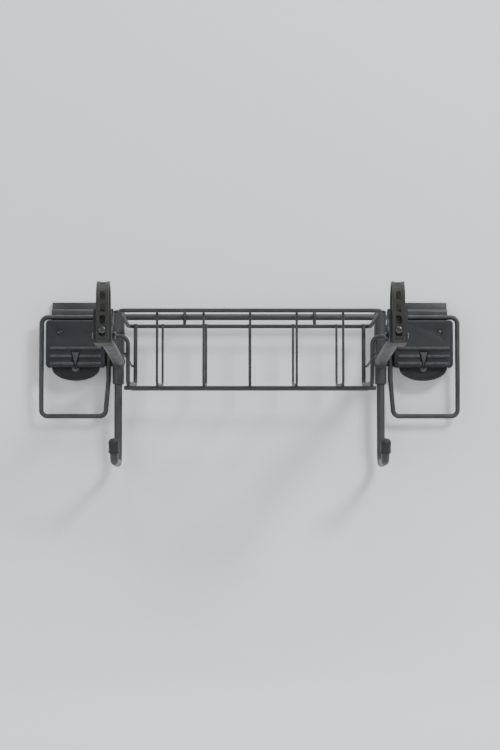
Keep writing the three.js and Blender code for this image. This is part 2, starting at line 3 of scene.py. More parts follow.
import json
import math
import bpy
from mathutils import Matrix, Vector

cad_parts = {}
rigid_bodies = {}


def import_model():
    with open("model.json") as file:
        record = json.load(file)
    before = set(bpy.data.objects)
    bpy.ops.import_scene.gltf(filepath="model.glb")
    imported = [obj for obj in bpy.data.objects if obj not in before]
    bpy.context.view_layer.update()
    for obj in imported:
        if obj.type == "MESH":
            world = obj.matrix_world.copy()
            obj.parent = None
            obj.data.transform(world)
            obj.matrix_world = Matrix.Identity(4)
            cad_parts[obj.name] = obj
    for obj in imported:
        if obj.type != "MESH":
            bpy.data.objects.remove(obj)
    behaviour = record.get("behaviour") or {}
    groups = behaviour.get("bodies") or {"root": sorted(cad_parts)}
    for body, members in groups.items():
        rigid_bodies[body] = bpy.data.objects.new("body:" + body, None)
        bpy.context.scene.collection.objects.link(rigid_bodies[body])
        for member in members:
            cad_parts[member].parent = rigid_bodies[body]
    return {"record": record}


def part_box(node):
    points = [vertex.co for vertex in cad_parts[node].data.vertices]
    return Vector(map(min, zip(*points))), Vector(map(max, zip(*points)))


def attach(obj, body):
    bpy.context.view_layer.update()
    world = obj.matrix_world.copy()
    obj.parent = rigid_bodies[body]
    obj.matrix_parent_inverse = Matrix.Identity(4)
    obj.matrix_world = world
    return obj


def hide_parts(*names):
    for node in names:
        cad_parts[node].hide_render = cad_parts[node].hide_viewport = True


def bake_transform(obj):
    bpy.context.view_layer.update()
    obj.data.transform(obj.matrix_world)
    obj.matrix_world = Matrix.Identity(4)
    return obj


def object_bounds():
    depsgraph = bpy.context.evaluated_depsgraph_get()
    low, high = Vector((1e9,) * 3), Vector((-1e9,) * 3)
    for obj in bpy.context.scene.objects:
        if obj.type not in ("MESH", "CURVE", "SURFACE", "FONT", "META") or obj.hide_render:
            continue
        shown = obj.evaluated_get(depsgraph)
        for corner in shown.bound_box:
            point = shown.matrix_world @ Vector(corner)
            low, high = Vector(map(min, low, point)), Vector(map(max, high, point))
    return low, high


bl_info = {
    "name": "Bicycle Wall Rack",
    "version": (1, 0, 0),
    "blender": (4, 5, 0),
    "location": "View3D > Sidebar > Wall Rack",
    "description": "Builds the visible pieces of a slatwall bicycle rack around its packed frame",
    "category": "Object",
}

import bmesh
import bpy
from bpy.props import FloatProperty, FloatVectorProperty, PointerProperty
from mathutils import Matrix, Vector

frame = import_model()
CAD_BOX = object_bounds()
JOINTS = {joint["name"]: joint for joint in frame["record"]["behaviour"]["joints"]}

MM = 0.001
SIDES = {"left": -1, "right": 1}
X = Vector((1, 0, 0))
Y = Vector((0, 1, 0))
Z = Vector((0, 0, 1))
GAP = 0.3 * MM  # the frame's clearance between pieces that touch
SMOOTH_ANGLE = 35  # degrees between two faces, past which their edge is drawn hard
FLAT_ANGLE = 0.6  # degrees between two faces, under which they count as one
WELD_STEP = 0.35 * MM  # distance between the points of a weld bead


# ---------------------------------------------------------------- reading the frame


def low(node):
    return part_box(node)[0]


def high(node):
    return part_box(node)[1]


def middle(node):
    lo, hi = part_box(node)
    return (lo + hi) / 2


def joint_at(name):
    return Vector(JOINTS[name]["pos_m"])


# ---------------------------------------------------------------- mesh building


def finish_mesh(name, bm, smooth_angle):
    """A mesh from bm, with its doubles merged, its faces outward and its hard edges marked."""
    bmesh.ops.remove_doubles(bm, verts=bm.verts, dist=1e-7)
    bmesh.ops.recalc_face_normals(bm, faces=bm.faces)
    mesh = bpy.data.meshes.new(name)
    bm.to_mesh(mesh)
    bm.free()
    mesh.shade_smooth()
    mesh.set_sharp_from_angle(angle=math.radians(smooth_angle))
    return mesh


def loose_object(name, mesh):
    obj = bpy.data.objects.new(name, mesh)
    bpy.context.collection.objects.link(obj)
    return obj


def object_from(name, bm, smooth_angle=SMOOTH_ANGLE):
    return loose_object(name, finish_mesh(name, bm, smooth_angle))


def drop_object(obj):
    mesh = obj.data
    bpy.data.objects.remove(obj)
    bpy.data.meshes.remove(mesh)


def finish_of(slot):
    return bpy.data.materials[f"{slot}_finish"]


def add_piece(obj, finish, body, nodes=()):
    """Gives a finished object its material and its edge wear marks, parents it to the body it rides on and
    hides the frame parts it stands for.
    """
    mark_wear(obj.data)
    obj.data.materials.clear()
    obj.data.materials.append(finish_of(finish))
    if body:
        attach(obj, body)
    if nodes:
        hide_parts(*nodes)


def settle(obj, smooth_angle=SMOOTH_ANGLE):
    """Applies every modifier and keeps the result as a plain mesh."""
    depsgraph = bpy.context.evaluated_depsgraph_get()
    mesh = bpy.data.meshes.new_from_object(obj.evaluated_get(depsgraph))
    obj.modifiers.clear()
    old = obj.data
    obj.data = mesh
    mesh.name = obj.name
    bpy.data.meshes.remove(old)
    mesh.shade_smooth()
    mesh.set_sharp_from_angle(angle=math.radians(smooth_angle))
    return obj


def carve(obj, cutters, operation="DIFFERENCE"):
    """Cuts the cutters out of obj, or joins them to it, and deletes them."""
    for cutter in cutters:
        boolean = obj.modifiers.new("carve", "BOOLEAN")
        boolean.operation = operation
        boolean.solver = "EXACT"
        boolean.object = cutter
        settle(obj)
        drop_object(cutter)
    return obj


def round_edges(obj, width, angle=SMOOTH_ANGLE):
    """Rounds the edges that are sharper than angle."""
    bm = bmesh.new()
    bm.from_mesh(obj.data)
    bmesh.ops.remove_doubles(bm, verts=bm.verts, dist=2e-6)
    bmesh.ops.dissolve_limit(bm, angle_limit=math.radians(FLAT_ANGLE), verts=bm.verts, edges=bm.edges)
    bm.to_mesh(obj.data)
    bm.free()
    bevel = obj.modifiers.new("round", "BEVEL")
    bevel.width = width
    bevel.segments = 2
    bevel.limit_method = "ANGLE"
    bevel.angle_limit = math.radians(angle)
    return settle(obj, angle)


def bent_line(corners, bend, arc_steps=9):
    """Points along straight runs whose corners are rounded to arcs of radius bend."""
    points = [Vector(corner) for corner in corners]
    line = [points[0]]
    for before, corner, after in zip(points, points[1:], points[2:]):
        arriving = (corner - before).normalized()
        leaving = (after - corner).normalized()
        turn = arriving.angle(leaving)
        axis = arriving.cross(leaving).normalized()
        inward = axis.cross(arriving)
        start = corner - arriving * bend * math.tan(turn / 2)
        centre = start + inward * bend
        for step in range(arc_steps + 1):
            spin = Matrix.Rotation(turn * step / arc_steps, 3, axis)
            line.append(centre - spin @ (inward * bend))
    line.append(points[-1])
    return line


def headings(line, closed=False):
    """Unit direction of travel at each point of a line."""
    found = []
    count = len(line)
    for i in range(count):
        ahead = line[(i + 1) % count] if closed else line[min(i + 1, count - 1)]
        behind = line[i - 1] if closed else line[max(i - 1, 0)]
        found.append((ahead - behind).normalized())
    return found


def skin_rings(bm, rings, closed=False, capped=True):
    """Joins each ring of vertices to the next. A ring of one vertex is a pole."""
    pairs = list(zip(rings, rings[1:]))
    if closed:
        pairs.append((rings[-1], rings[0]))
    for a, b in pairs:
        count = max(len(a), len(b))
        for i in range(count):
            j = (i + 1) % count
            if len(a) == 1:
                bm.faces.new((a[0], b[i], b[j]))
            elif len(b) == 1:
                bm.faces.new((a[i], a[j], b[0]))
            else:
                bm.faces.new((a[i], a[j], b[j], b[i]))
    if capped and not closed:
        bm.faces.new(list(reversed(rings[0])))
        bm.faces.new(rings[-1])


def solid_of_rings(name, rings, forward=False):
    """A closed object skinned over rings of points, all with the same count. Forward if they run to -y."""
    bm = bmesh.new()
    lines = [[bm.verts.new(point) for point in ring] for ring in rings]
    skin_rings(bm, lines, capped=False)
    first, last = (1, -1) if forward else (-1, 1)
    bm.faces.new(lines[0][::first])
    bm.faces.new(lines[-1][::last])
    return object_from(name, bm)


def sweep(bm, line, radii, sides=20, closed=False):
    """Skins a round section of varying radius along a line."""
    directions = headings(line, closed)
    across = directions[0].orthogonal().normalized()
    rings = []
    for i, (point, heading) in enumerate(zip(line, directions)):
        if i:
            across = directions[i - 1].rotation_difference(heading) @ across
            across = (across - heading * across.dot(heading)).normalized()
        up = heading.cross(across)
        ring = []
        for side in range(sides):
            angle = 2 * math.pi * side / sides
            offset = across * math.cos(angle) + up * math.sin(angle)
            ring.append(bm.verts.new(point + offset * radii[i]))
        rings.append(ring)
    skin_rings(bm, rings, closed)


def rod(name, corners, radius, bend=8 * MM, sides=20, edge=0.5 * MM):
    """A bent round bar whose two ends are slightly rounded."""
    line = bent_line(corners, bend)
    first = (line[1] - line[0]).normalized()
    last = (line[-1] - line[-2]).normalized()
    steps = [math.radians(a) for a in (0, 30, 60, 90)]
    head = [(line[0] + first * edge * (1 - math.cos(a)), radius - edge * (1 - math.sin(a))) for a in steps]
    foot = [(line[-1] - last * edge * (1 - math.cos(a)), radius - edge * (1 - math.sin(a))) for a in steps]
    stations = head + [(point, radius) for point in line[1:-1]] + foot[::-1]
    bm = bmesh.new()
    sweep(bm, [point for point, _ in stations], [r for _, r in stations], sides)
    return object_from(name, bm)


def turned(name, profile, origin, direction, segments=32, closed=False, smooth_angle=SMOOTH_ANGLE):
    """Spins a profile of (radius, height) pairs round a direction. A closed one is a ring with a bore."""
    spin = Vector(direction).to_track_quat("Z", "Y")
    origin = Vector(origin)
    bm = bmesh.new()
    rings = []
    for radius, height in profile:
        if radius < 1e-7:
            rings.append([bm.verts.new(origin + spin @ Vector((0, 0, height)))])
            continue
        ring = []
        for i in range(segments):
            angle = 2 * math.pi * i / segments
            local = Vector((radius * math.cos(angle), radius * math.sin(angle), height))
            ring.append(bm.verts.new(origin + spin @ local))
        rings.append(ring)
    skin_rings(bm, rings, closed, capped=False)
    return object_from(name, bm, smooth_angle)


def dome(radius, base, rise, turns):
    """Profile points of a dome that rises from base. A turn is 0 at its edge and pi / 2 at its top."""
    return [(radius * math.cos(turn), base + rise * math.sin(turn)) for turn in turns]


def block(name, corner_a, corner_b):
    """A plain box, used only to cut with."""
    bm = bmesh.new()
    lo = Vector(map(min, corner_a, corner_b))
    hi = Vector(map(max, corner_a, corner_b))
    bmesh.ops.create_cube(bm, size=1)
    for vert in bm.verts:
        vert.co = Vector([lo[k] if vert.co[k] < 0 else hi[k] for k in range(3)])
    return object_from(name, bm)


def bar_cutter(name, start, end, radius):
    """A round bar, used only to cut with."""
    start, end = Vector(start), Vector(end)
    length = (end - start).length
    profile = [(0, 0), (radius, 0), (radius, length), (0, length)]
    return turned(name, profile, start, end - start)


def rounded_rect(width, height, corner, steps=7):
    """Outline points of a rectangle with round corners, centred on nought."""
    points = []
    for quarter, (sx, sz) in enumerate(((1, 1), (-1, 1), (-1, -1), (1, -1))):
        cx = sx * (width / 2 - corner)
        cz = sz * (height / 2 - corner)
        for step in range(steps + 1):
            angle = math.pi / 2 * (quarter + step / steps)
            points.append((cx + corner * math.cos(angle), cz + corner * math.sin(angle)))
    return points


def shrunk(width, height, corner, inset):
    return rounded_rect(width - 2 * inset, height - 2 * inset, max(corner - inset, 0.6 * MM))


def weld_bead(bm, line, radius, closed=False):
    """A weld bead: a thick line with the small regular ripples of the torch."""
    ripple = bpy.context.scene.rack_sizes.bead_ripple
    ripple_height, end_share = 0.16, 0.6
    run = 0.0
    radii = []
    for i, point in enumerate(line):
        if i:
            run += (point - line[i - 1]).length
        radii.append(radius * (1 + ripple_height * math.sin(2 * math.pi * run / ripple)))
    if not closed:
        radii[0] *= end_share
        radii[-1] *= end_share
    sweep(bm, line, radii, 8, closed)


def weld_ring(bm, centre, pipe, radius):
    """A bead round a pipe that runs along X."""
    weld_bead(bm, circle_line(centre, X, pipe), radius, True)


def straight(start, end):
    start, end = Vector(start), Vector(end)
    count = max(2, round((end - start).length / WELD_STEP))
    return [start.lerp(end, i / count) for i in range(count + 1)]


def circle_line(centre, axis, radius):
    centre, axis = Vector(centre), Vector(axis).normalized()
    count = max(12, round(2 * math.pi * radius / WELD_STEP))
    arm = axis.orthogonal().normalized() * radius
    return [centre + Matrix.Rotation(2 * math.pi * i / count, 3, axis) @ arm for i in range(count)]


# ---------------------------------------------------------------- geometry nodes


def tree_with(name, inputs):
    """A new geometry node tree with named inputs and one geometry output, and its input node."""
    tree = bpy.data.node_groups.new(name, "GeometryNodeTree")
    for label, kind, value in inputs:
        socket = tree.interface.new_socket(label, in_out="INPUT", socket_type=kind)
        if value is not None:
            socket.default_value = value
    tree.interface.new_socket("Geometry", in_out="OUTPUT", socket_type="NodeSocketGeometry")
    return tree, tree.nodes.new("NodeGroupInput")


def link_all(tree, *joins):
    """Links each (output, input) pair of sockets."""
    for output, given in joins:
        tree.links.new(output, given)


def end_tree(tree, given, instances):
    """Makes the instances real, gives them their finish and puts them out."""
    realize = tree.nodes.new("GeometryNodeRealizeInstances")
    paint = tree.nodes.new("GeometryNodeSetMaterial")
    result = tree.nodes.new("NodeGroupOutput")
    link_all(
        tree,
        (instances, realize.inputs["Geometry"]),
        (realize.outputs["Geometry"], paint.inputs["Geometry"]),
        (given.outputs["Finish"], paint.inputs["Material"]),
        (paint.outputs["Geometry"], result.inputs["Geometry"]),
    )


def spread_copies_tree():
    """Stands a copy of an object on each point, turned by the points' own turn values."""
    tree, given = tree_with(
        "spread_copies",
        (
            ("Places", "NodeSocketGeometry", None),
            ("Copy", "NodeSocketObject", None),
            ("Scale", "NodeSocketFloat", 1.0),
            ("Finish", "NodeSocketMaterial", None),
        ),
    )
    nodes = tree.nodes
    info = nodes.new("GeometryNodeObjectInfo")
    turn = nodes.new("GeometryNodeInputNamedAttribute")
    turn.data_type = "FLOAT_VECTOR"
    turn.inputs["Name"].default_value = "turn"
    instance = nodes.new("GeometryNodeInstanceOnPoints")
    link_all(
        tree,
        (given.outputs["Copy"], info.inputs["Object"]),
        (given.outputs["Places"], instance.inputs["Points"]),
        (info.outputs["Geometry"], instance.inputs["Instance"]),
        (turn.outputs["Attribute"], instance.inputs["Rotation"]),
        (given.outputs["Scale"], instance.inputs["Scale"]),
    )
    end_tree(tree, given, instance.outputs["Instances"])


def wire_row_tree():
    """Skins a centre line with round wire, and repeats it in a row across X, centred on nought."""
    tree, given = tree_with(
        "wire_row",
        (
            ("Line", "NodeSocketGeometry", None),
            ("Count", "NodeSocketInt", 5),
            ("Pitch", "NodeSocketFloat", 0.05),
            ("Radius", "NodeSocketFloat", 0.0015),
            ("Sides", "NodeSocketInt", 14),
            ("Finish", "NodeSocketMaterial", None),
        ),
    )
    nodes = tree.nodes
    curve = nodes.new("GeometryNodeMeshToCurve")
    section = nodes.new("GeometryNodeCurvePrimitiveCircle")
    wire = nodes.new("GeometryNodeCurveToMesh")
    wire.inputs["Fill Caps"].default_value = True
    count, pitch = given.outputs["Count"], given.outputs["Pitch"]
    half_row = math_node(tree, "MULTIPLY", math_node(tree, "SUBTRACT", count, 1.0), -0.5)
    start = nodes.new("ShaderNodeCombineXYZ")
    step = nodes.new("ShaderNodeCombineXYZ")
    row = nodes.new("GeometryNodeMeshLine")
    instance = nodes.new("GeometryNodeInstanceOnPoints")
    link_all(
        tree,
        (given.outputs["Line"], curve.inputs["Mesh"]),
        (given.outputs["Sides"], section.inputs["Resolution"]),
        (given.outputs["Radius"], section.inputs["Radius"]),
        (curve.outputs["Curve"], wire.inputs["Curve"]),
        (section.outputs["Curve"], wire.inputs["Profile Curve"]),
        (math_node(tree, "MULTIPLY", half_row, pitch), start.inputs["X"]),
        (pitch, step.inputs["X"]),
        (count, row.inputs["Count"]),
        (start.outputs["Vector"], row.inputs["Start Location"]),
        (step.outputs["Vector"], row.inputs["Offset"]),
        (row.outputs["Mesh"], instance.inputs["Points"]),
        (wire.outputs["Mesh"], instance.inputs["Instance"]),
    )
    end_tree(tree, given, instance.outputs["Instances"])


def grown(obj, tree_name, values):
    """Runs a node tree on an object, with the values set by each input's identifier, and keeps the mesh."""
    tree = bpy.data.node_groups[tree_name]
    modifier = obj.modifiers.new(tree_name, "NODES")
    modifier.node_group = tree
    for item in tree.interface.items_tree:
        if item.in_out == "INPUT" and item.name in values:
            modifier[item.identifier] = values[item.name]
    return settle(obj)


def copies(name, pattern, places, finish):
    """One object made of copies of pattern. places holds (point, turn) pairs, turn as Euler angles."""
    mesh = bpy.data.meshes.new(name)
    mesh.from_pydata([tuple(point) for point, _ in places], [], [])
    turns = mesh.attributes.new("turn", "FLOAT_VECTOR", "POINT")
    turns.data.foreach_set("vector", [value for _, turn in places for value in turn])
    obj = loose_object(name, mesh)
    grown(obj, "spread_copies", {"Copy": pattern, "Scale": 1.0, "Finish": finish_of(finish)})
    drop_object(pattern)
    return obj


# ---------------------------------------------------------------- shader groups and finishes

SPECULAR = 0.3
MOTTLE_DARK, MOTTLE_LIGHT = 0.87, 1.14  # shares of a finish's colour between which it is mottled
WEAR_AND_HIGHLIGHT_GAIN, WEAR_AND_HIGHLIGHT_LIFT = 2.6, 0.03  # what wear, and the painted highlight on raised fronts, make of a finish's colour
# Strongest share of the painted highlight that lightens raised fronts, such as the cover's ribs.
HIGHLIGHT_MOST = 0.55
DUST_MATT = 0.4  # what full dust adds to the roughness


def shader_group(name, inputs, outputs):
    tree = bpy.data.node_groups.new(name, "ShaderNodeTree")
    for label, value in inputs:
        socket = tree.interface.new_socket(label, in_out="INPUT", socket_type="NodeSocketFloat")
        socket.default_value = value
    for label in outputs:
        tree.interface.new_socket(label, in_out="OUTPUT", socket_type="NodeSocketFloat")
    given = tree.nodes.new("NodeGroupInput")
    result = tree.nodes.new("NodeGroupOutput")
    return tree, given, result


def feed(tree, value, socket):
    """Links value to the socket if it is a socket itself, and otherwise sets it there."""
    if isinstance(value, bpy.types.NodeSocket):
        tree.links.new(value, socket)
    else:
        socket.default_value = value


def math_node(tree, operation, a, b, clamp=False):
    """A Math node whose two inputs are sockets or numbers."""
    node = tree.nodes.new("ShaderNodeMath")
    node.operation = operation
    node.use_clamp = clamp
    feed(tree, a, node.inputs[0])
    feed(tree, b, node.inputs[1])
    return node.outputs[0]


def product(tree, *factors):
    total = factors[0]
    for factor in factors[1:]:
        total = math_node(tree, "MULTIPLY", total, factor)
    return total


def own_place(tree):
    return tree.nodes.new("ShaderNodeTexCoord").outputs["Object"]


def components(tree, vector):
    """The X, Y and Z sockets of a vector."""
    split = tree.nodes.new("ShaderNodeSeparateXYZ")
    tree.links.new(vector, split.inputs["Vector"])
    return split.outputs


def noise(tree, vector, scale, detail=3.0, roughness=0.5):
    node = tree.nodes.new("ShaderNodeTexNoise")
    node.inputs["Detail"].default_value = detail
    node.inputs["Roughness"].default_value = roughness
    tree.links.new(vector, node.inputs["Vector"])
    feed(tree, scale, node.inputs["Scale"])
    return node.outputs["Fac"]


def window(tree, value, low_edge, high_edge):
    """Stretches value so that low_edge gives 0 and high_edge gives 1."""
    node = tree.nodes.new("ShaderNodeMapRange")
    node.interpolation_type = "SMOOTHSTEP"
    tree.links.new(value, node.inputs["Value"])
    node.inputs["From Min"].default_value = low_edge
    node.inputs["From Max"].default_value = high_edge
    return node.outputs["Result"]


def patches(tree, place, scale, detail, roughness, low_edge, high_edge):
    """A noise stretched into patches with soft edges."""
    return window(tree, noise(tree, place, scale, detail, roughness), low_edge, high_edge)


def surface_skin_group():
    """Skin of a sprayed or moulded surface: fine pebbles over slower waves."""
    tree, given, result = shader_group("surface_skin", (("Scale", 900.0),), ("Height", "Mottle"))
    place = own_place(tree)
    pebble = tree.nodes.new("ShaderNodeTexVoronoi")
    pebble.feature = "SMOOTH_F1"
    pebble.inputs["Smoothness"].default_value = 0.6
    tree.links.new(place, pebble.inputs["Vector"])
    tree.links.new(given.outputs["Scale"], pebble.inputs["Scale"])
    waves = noise(tree, place, product(tree, given.outputs["Scale"], 0.35))
    total = math_node(tree, "ADD", pebble.outputs["Distance"], waves)
    tree.links.new(product(tree, total, 0.5), result.inputs["Height"])
    tree.links.new(patches(tree, place, 55.0, 4.0, 0.6, 0.3, 0.7), result.inputs["Mottle"])


def dust_group():
    """Dust that settles on faces that look up, in uneven patches."""
    tree, given, result = shader_group("settled_dust", (("Amount", 0.3),), ("Mask",))
    place = own_place(tree)
    normal = tree.nodes.new("ShaderNodeNewGeometry").outputs["Normal"]
    upward = window(tree, components(tree, normal)["Z"], 0.25, 0.95)
    film = patches(tree, place, 140.0, 5.0, 0.65, 0.35, 0.75)
    specks = patches(tree, place, 1500.0, 2.0, 0.5, 0.5, 0.8)
    cover = math_node(tree, "ADD", product(tree, film, 0.7), specks)
    mask = product(tree, upward, cover, given.outputs["Amount"])
    tree.links.new(math_node(tree, "MINIMUM", mask, 1.0), result.inputs["Mask"])


def rub_group():
    """Short streaks of rub wear where things have brushed past."""
    tree, given, result = shader_group("rub_marks", (("Amount", 0.5), ("Stretch", 6.0)), ("Mask",))
    place = own_place(tree)
    parts = components(tree, place)
    join = tree.nodes.new("ShaderNodeCombineXYZ")
    tree.links.new(product(tree, parts["X"], given.outputs["Stretch"]), join.inputs["X"])
    tree.links.new(parts["Y"], join.inputs["Y"])
    tree.links.new(product(tree, parts["Z"], 2.5), join.inputs["Z"])
    streaks = patches(tree, join.outputs["Vector"], 260.0, 6.0, 0.7, 0.62, 0.72)
    zones = patches(tree, place, 28.0, 2.0, 0.5, 0.52, 0.68)
    tree.links.new(product(tree, streaks, zones, given.outputs["Amount"]), result.inputs["Mask"])


def edge_wear_group():
    """Broken-up wear along the edges that the piece's own edge_wear attribute marks."""
    tree, given, result = shader_group("edge_wear", (("Amount", 0.6),), ("Mask",))
    marked = tree.nodes.new("ShaderNodeAttribute")
    marked.attribute_name = "edge_wear"
    breaks = patches(tree, own_place(tree), 420.0, 5.0, 0.7, 0.42, 0.62)
    mask = product(tree, marked.outputs["Fac"], breaks, given.outputs["Amount"])
    tree.links.new(math_node(tree, "MINIMUM", mask, 1.0), result.inputs["Mask"])


def use_group(tree, name, **values):
    node = tree.nodes.new("ShaderNodeGroup")
    node.node_tree = bpy.data.node_groups[name]
    for label, value in values.items():
        node.inputs[label].default_value = value
    return node.outputs


def mixed(tree, factor, a, b):
    """Colour a where factor is 0 and b where it is 1. Each is a socket or an RGB triple."""
    node = tree.nodes.new("ShaderNodeMix")
    node.data_type = "RGBA"
    tree.links.new(factor, node.inputs["Factor"])
    for socket, value in ((node.inputs[6], a), (node.inputs[7], b)):
        feed(tree, (*value, 1.0) if isinstance(value, tuple) else value, socket)
    return node.outputs[2]


def highlit_front(tree, calm, brightest_y):
    """Mask of a painted highlight on what stands out towards the front, from 0 at y = calm to HIGHLIGHT_MOST
    at y = brightest_y.
    """
    place = own_place(tree)
    reach = tree.nodes.new("ShaderNodeMapRange")
    reach.inputs["From Min"].default_value = calm
    reach.inputs["From Max"].default_value = brightest_y
    tree.links.new(components(tree, place)["Y"], reach.inputs["Value"])
    breaks = patches(tree, place, 240.0, 4.0, 0.6, 0.25, 0.6)
    return product(tree, reach.outputs["Result"], breaks, HIGHLIGHT_MOST)


def finish_material(name, colour, rough, grain, depth, dust, rub, wear, proud=None, **shader):
    """A material: mottled colour, rub streaks and dust over a skin of a given grain, and a painted highlight
    on raised fronts.

    rough is a pair, for the calm and the mottled parts. grain is the skin's scale per metre and depth
    its height in metres. dust, rub and wear are amounts. proud is the pair of y over which the
    piece's front gets a painted highlight, lightened towards the worn colour. shader holds plain values for
    the Principled shader's own sockets."""
    material = bpy.data.materials.new(f"{name}_finish")
    material.use_nodes = True
    tree = material.node_tree
    tree.nodes.clear()
    output = tree.nodes.new("ShaderNodeOutputMaterial")
    principled = tree.nodes.new("ShaderNodeBsdfPrincipled")
    tree.links.new(principled.outputs["BSDF"], output.inputs["Surface"])
    principled.inputs["Specular IOR Level"].default_value = SPECULAR
    for label, value in shader.items():
        principled.inputs[label.replace("_", " ")].default_value = value
    surface = use_group(tree, "surface_skin", Scale=grain)
    darker = tuple(channel * MOTTLE_DARK for channel in colour)
    lighter = tuple(channel * MOTTLE_LIGHT for channel in colour)
    # The worn colour serves for wear and also for the painted highlight on raised fronts.
    worn = tuple(min(1.0, channel * WEAR_AND_HIGHLIGHT_GAIN + WEAR_AND_HIGHLIGHT_LIFT) for channel in colour)
    base = mixed(tree, surface["Mottle"], darker, lighter)
    base = mixed(tree, use_group(tree, "rub_marks", Amount=rub)["Mask"], base, worn)
    base = mixed(tree, use_group(tree, "edge_wear", Amount=wear)["Mask"], base, worn)
    # Painted highlight: the front of raised parts, the cover's ribs, is lightened towards the worn colour.
    if proud:
        base = mixed(tree, highlit_front(tree, *proud), base, worn)
    grime = use_group(tree, "settled_dust", Amount=dust)["Mask"]
    tint = tuple(bpy.context.scene.rack_finish.dust)
    tree.links.new(mixed(tree, grime, base, tint), principled.inputs["Base Color"])
    spread = tree.nodes.new("ShaderNodeMapRange")
    spread.inputs["To Min"].default_value = rough[0]
    spread.inputs["To Max"].default_value = rough[1]
    tree.links.new(surface["Mottle"], spread.inputs["Value"])
    roughness = math_node(tree, "ADD", spread.outputs["Result"], product(tree, grime, DUST_MATT), True)
    tree.links.new(roughness, principled.inputs["Roughness"])
    bump = tree.nodes.new("ShaderNodeBump")
    bump.inputs["Strength"].default_value = 1.0
    bump.inputs["Distance"].default_value = depth
    tree.links.new(surface["Height"], bump.inputs["Height"])
    tree.links.new(bump.outputs["Normal"], principled.inputs["Normal"])


# ---------------------------------------------------------------- sizes taken from the drawing

TUBE = 7.2 * MM
TUBE_WALL = 1.8 * MM
LOOP_ROD = 3 * MM
RAIL_ROD = 4 * MM
RIM_ROD = 2.5 * MM
WIRE = 1.5 * MM
SEAT_RADIUS = 20.5 * MM
STRAP_THICK = 3.5 * MM
STRAP_WIDTH = 14 * MM
OCTAGON = math.cos(math.pi / 8)

LOCK = joint_at("lock_turn_right")
PIN = joint_at("strap_swing_right")
SEAT = joint_at("strap_peel_right") + Y * (SEAT_RADIUS + STRAP_THICK / 2)
POST = middle("upright_right")
POST_TOP = high("upright_right").z
POST_FOOT = low("upright_right").z
LOOP_TOP = middle("cross_rail").z
ARM_FRONT_Z = SEAT.z - SEAT_RADIUS - 7.5 * MM - GAP - TUBE
ARM_WALL_Z = ARM_FRONT_Z - 6 * MM
COVER_FACE = low("cover_screw_right").y
COVER_MID = Vector((LOCK.x, 0, high("cover_right").z - 30 * MM))


def arm_z(y):
    return ARM_WALL_Z + (ARM_FRONT_Z - ARM_WALL_Z) * (y - POST.y) / (SEAT.y - POST.y)


def pair(label, make, finish, body, nodes=()):
    """Makes a right-hand piece, and the left-hand one as its mirror image."""
    for side, hand in SIDES.items():
        obj = make(f"{label}_{side}")
        if hand < 0:
            obj.data.transform(Matrix.Scale(-1, 4, X))
            bm = bmesh.new()
            bm.from_mesh(obj.data)
            bmesh.ops.remove_doubles(bm, verts=bm.verts, dist=1e-8)
            bmesh.ops.recalc_face_normals(bm, faces=bm.faces)
            bm.to_mesh(obj.data)
            bm.free()
        add_piece(obj, finish, body.format(side=side), [f"{node}_{side}" for node in nodes])


def joined(name, *objects):
    """One object holding the meshes of several."""
    bm = bmesh.new()
    for obj in objects:
        bm.from_mesh(obj.data)
        drop_object(obj)
    mesh = bpy.data.meshes.new(name)
    bm.to_mesh(mesh)
    bm.free()
    return loose_object(name, mesh)


def mark_wear(mesh):
    """Marks the narrow faces of rounded edges in the edge_wear attribute."""
    narrow = 0.9 * MM
    least_turn = 0.37
    bm = bmesh.new()
    bm.from_mesh(mesh)
    values = []
    for face in bm.faces:
        width = face.calc_area() / max(edge.calc_length() for edge in face.edges)
        turns = [edge.calc_face_angle_signed(0.0) for edge in face.edges if len(edge.link_faces) == 2]
        worn = width < narrow and max(turns, default=0.0) > least_turn
        values += [1.0 if worn else 0.0] * len(face.verts)
    bm.free()
    attribute = mesh.attributes.new("edge_wear", "FLOAT", "CORNER")
    attribute.data.foreach_set("value", values)


def arc(centre_a, centre_b, radius, start, end, steps):
    """Points of an arc in a plane, from angle start to end in degrees."""
    angles = [math.radians(start + (end - start) * i / steps) for i in range(steps + 1)]
    return [(centre_a + radius * math.cos(t), centre_b + radius * math.sin(t)) for t in angles]


def shifted(outline, a, b):
    return [(point_a + a, point_b + b) for point_a, point_b in outline]


def slab_across(name, outline, x0, x1):
    """A flat shape drawn in y and z, from x0 to x1."""
    return solid_of_rings(name, [[(x, y, z) for y, z in outline] for x in (x0, x1)])


def slab_forward(name, outline, back, front):
    """A flat shape drawn in x and z, from y = back to y = front."""
    return solid_of_rings(name, [[(x, y, z) for x, z in outline] for y in (back, front)])


def bent_sheet(name, line, thickness, x0, x1):
    """Sheet metal folded along a line in y and z, with smooth folds, from x0 to x1."""
    sideways = [Vector((0, -heading.z, heading.y)) * thickness / 2 for heading in headings(line)]
    left = [(point + side).yz for point, side in zip(line, sideways)]
    right = [(point - side).yz for point, side in zip(line, sideways)]
    return slab_across(name, left + right[::-1], x0, x1)


def cross_recess(centre, direction, reach, width, depth):
    """Two cutters for the cross in a screw's head. The head faces along direction, which is -Y or X."""
    axes = (X, Z) if abs(direction.y) > 0.5 else (Y, Z)
    past_the_head = 0.4 * MM
    cutters = []
    for along, sideways in (axes, axes[::-1]):
        half = along * reach + sideways * width / 2
        inner = centre - half - direction * depth
        outer = centre + half + direction * past_the_head
        cutters.append(block("recess", inner, outer))
    return cutters


def pan_head(name, seat, direction, radius, height, shaft, length):
    """A screw: a domed head with a cross recess, and its shaft behind the seat."""
    direction = Vector(direction)
    rim = 0.35 * height
    profile = [(0, -length), (shaft, -length), (shaft, 0), (radius, 0)]
    profile += dome(radius, rim, height - rim, (0, 0.35, 0.7, 1.05, 1.35))
    screw = turned(name, profile + [(0, height)], seat, direction, 36)
    top = Vector(seat) + direction * height
    return carve(screw, cross_recess(top, direction, radius * 0.55, radius * 0.2, height * 0.5))


# ---------------------------------------------------------------- wall plates


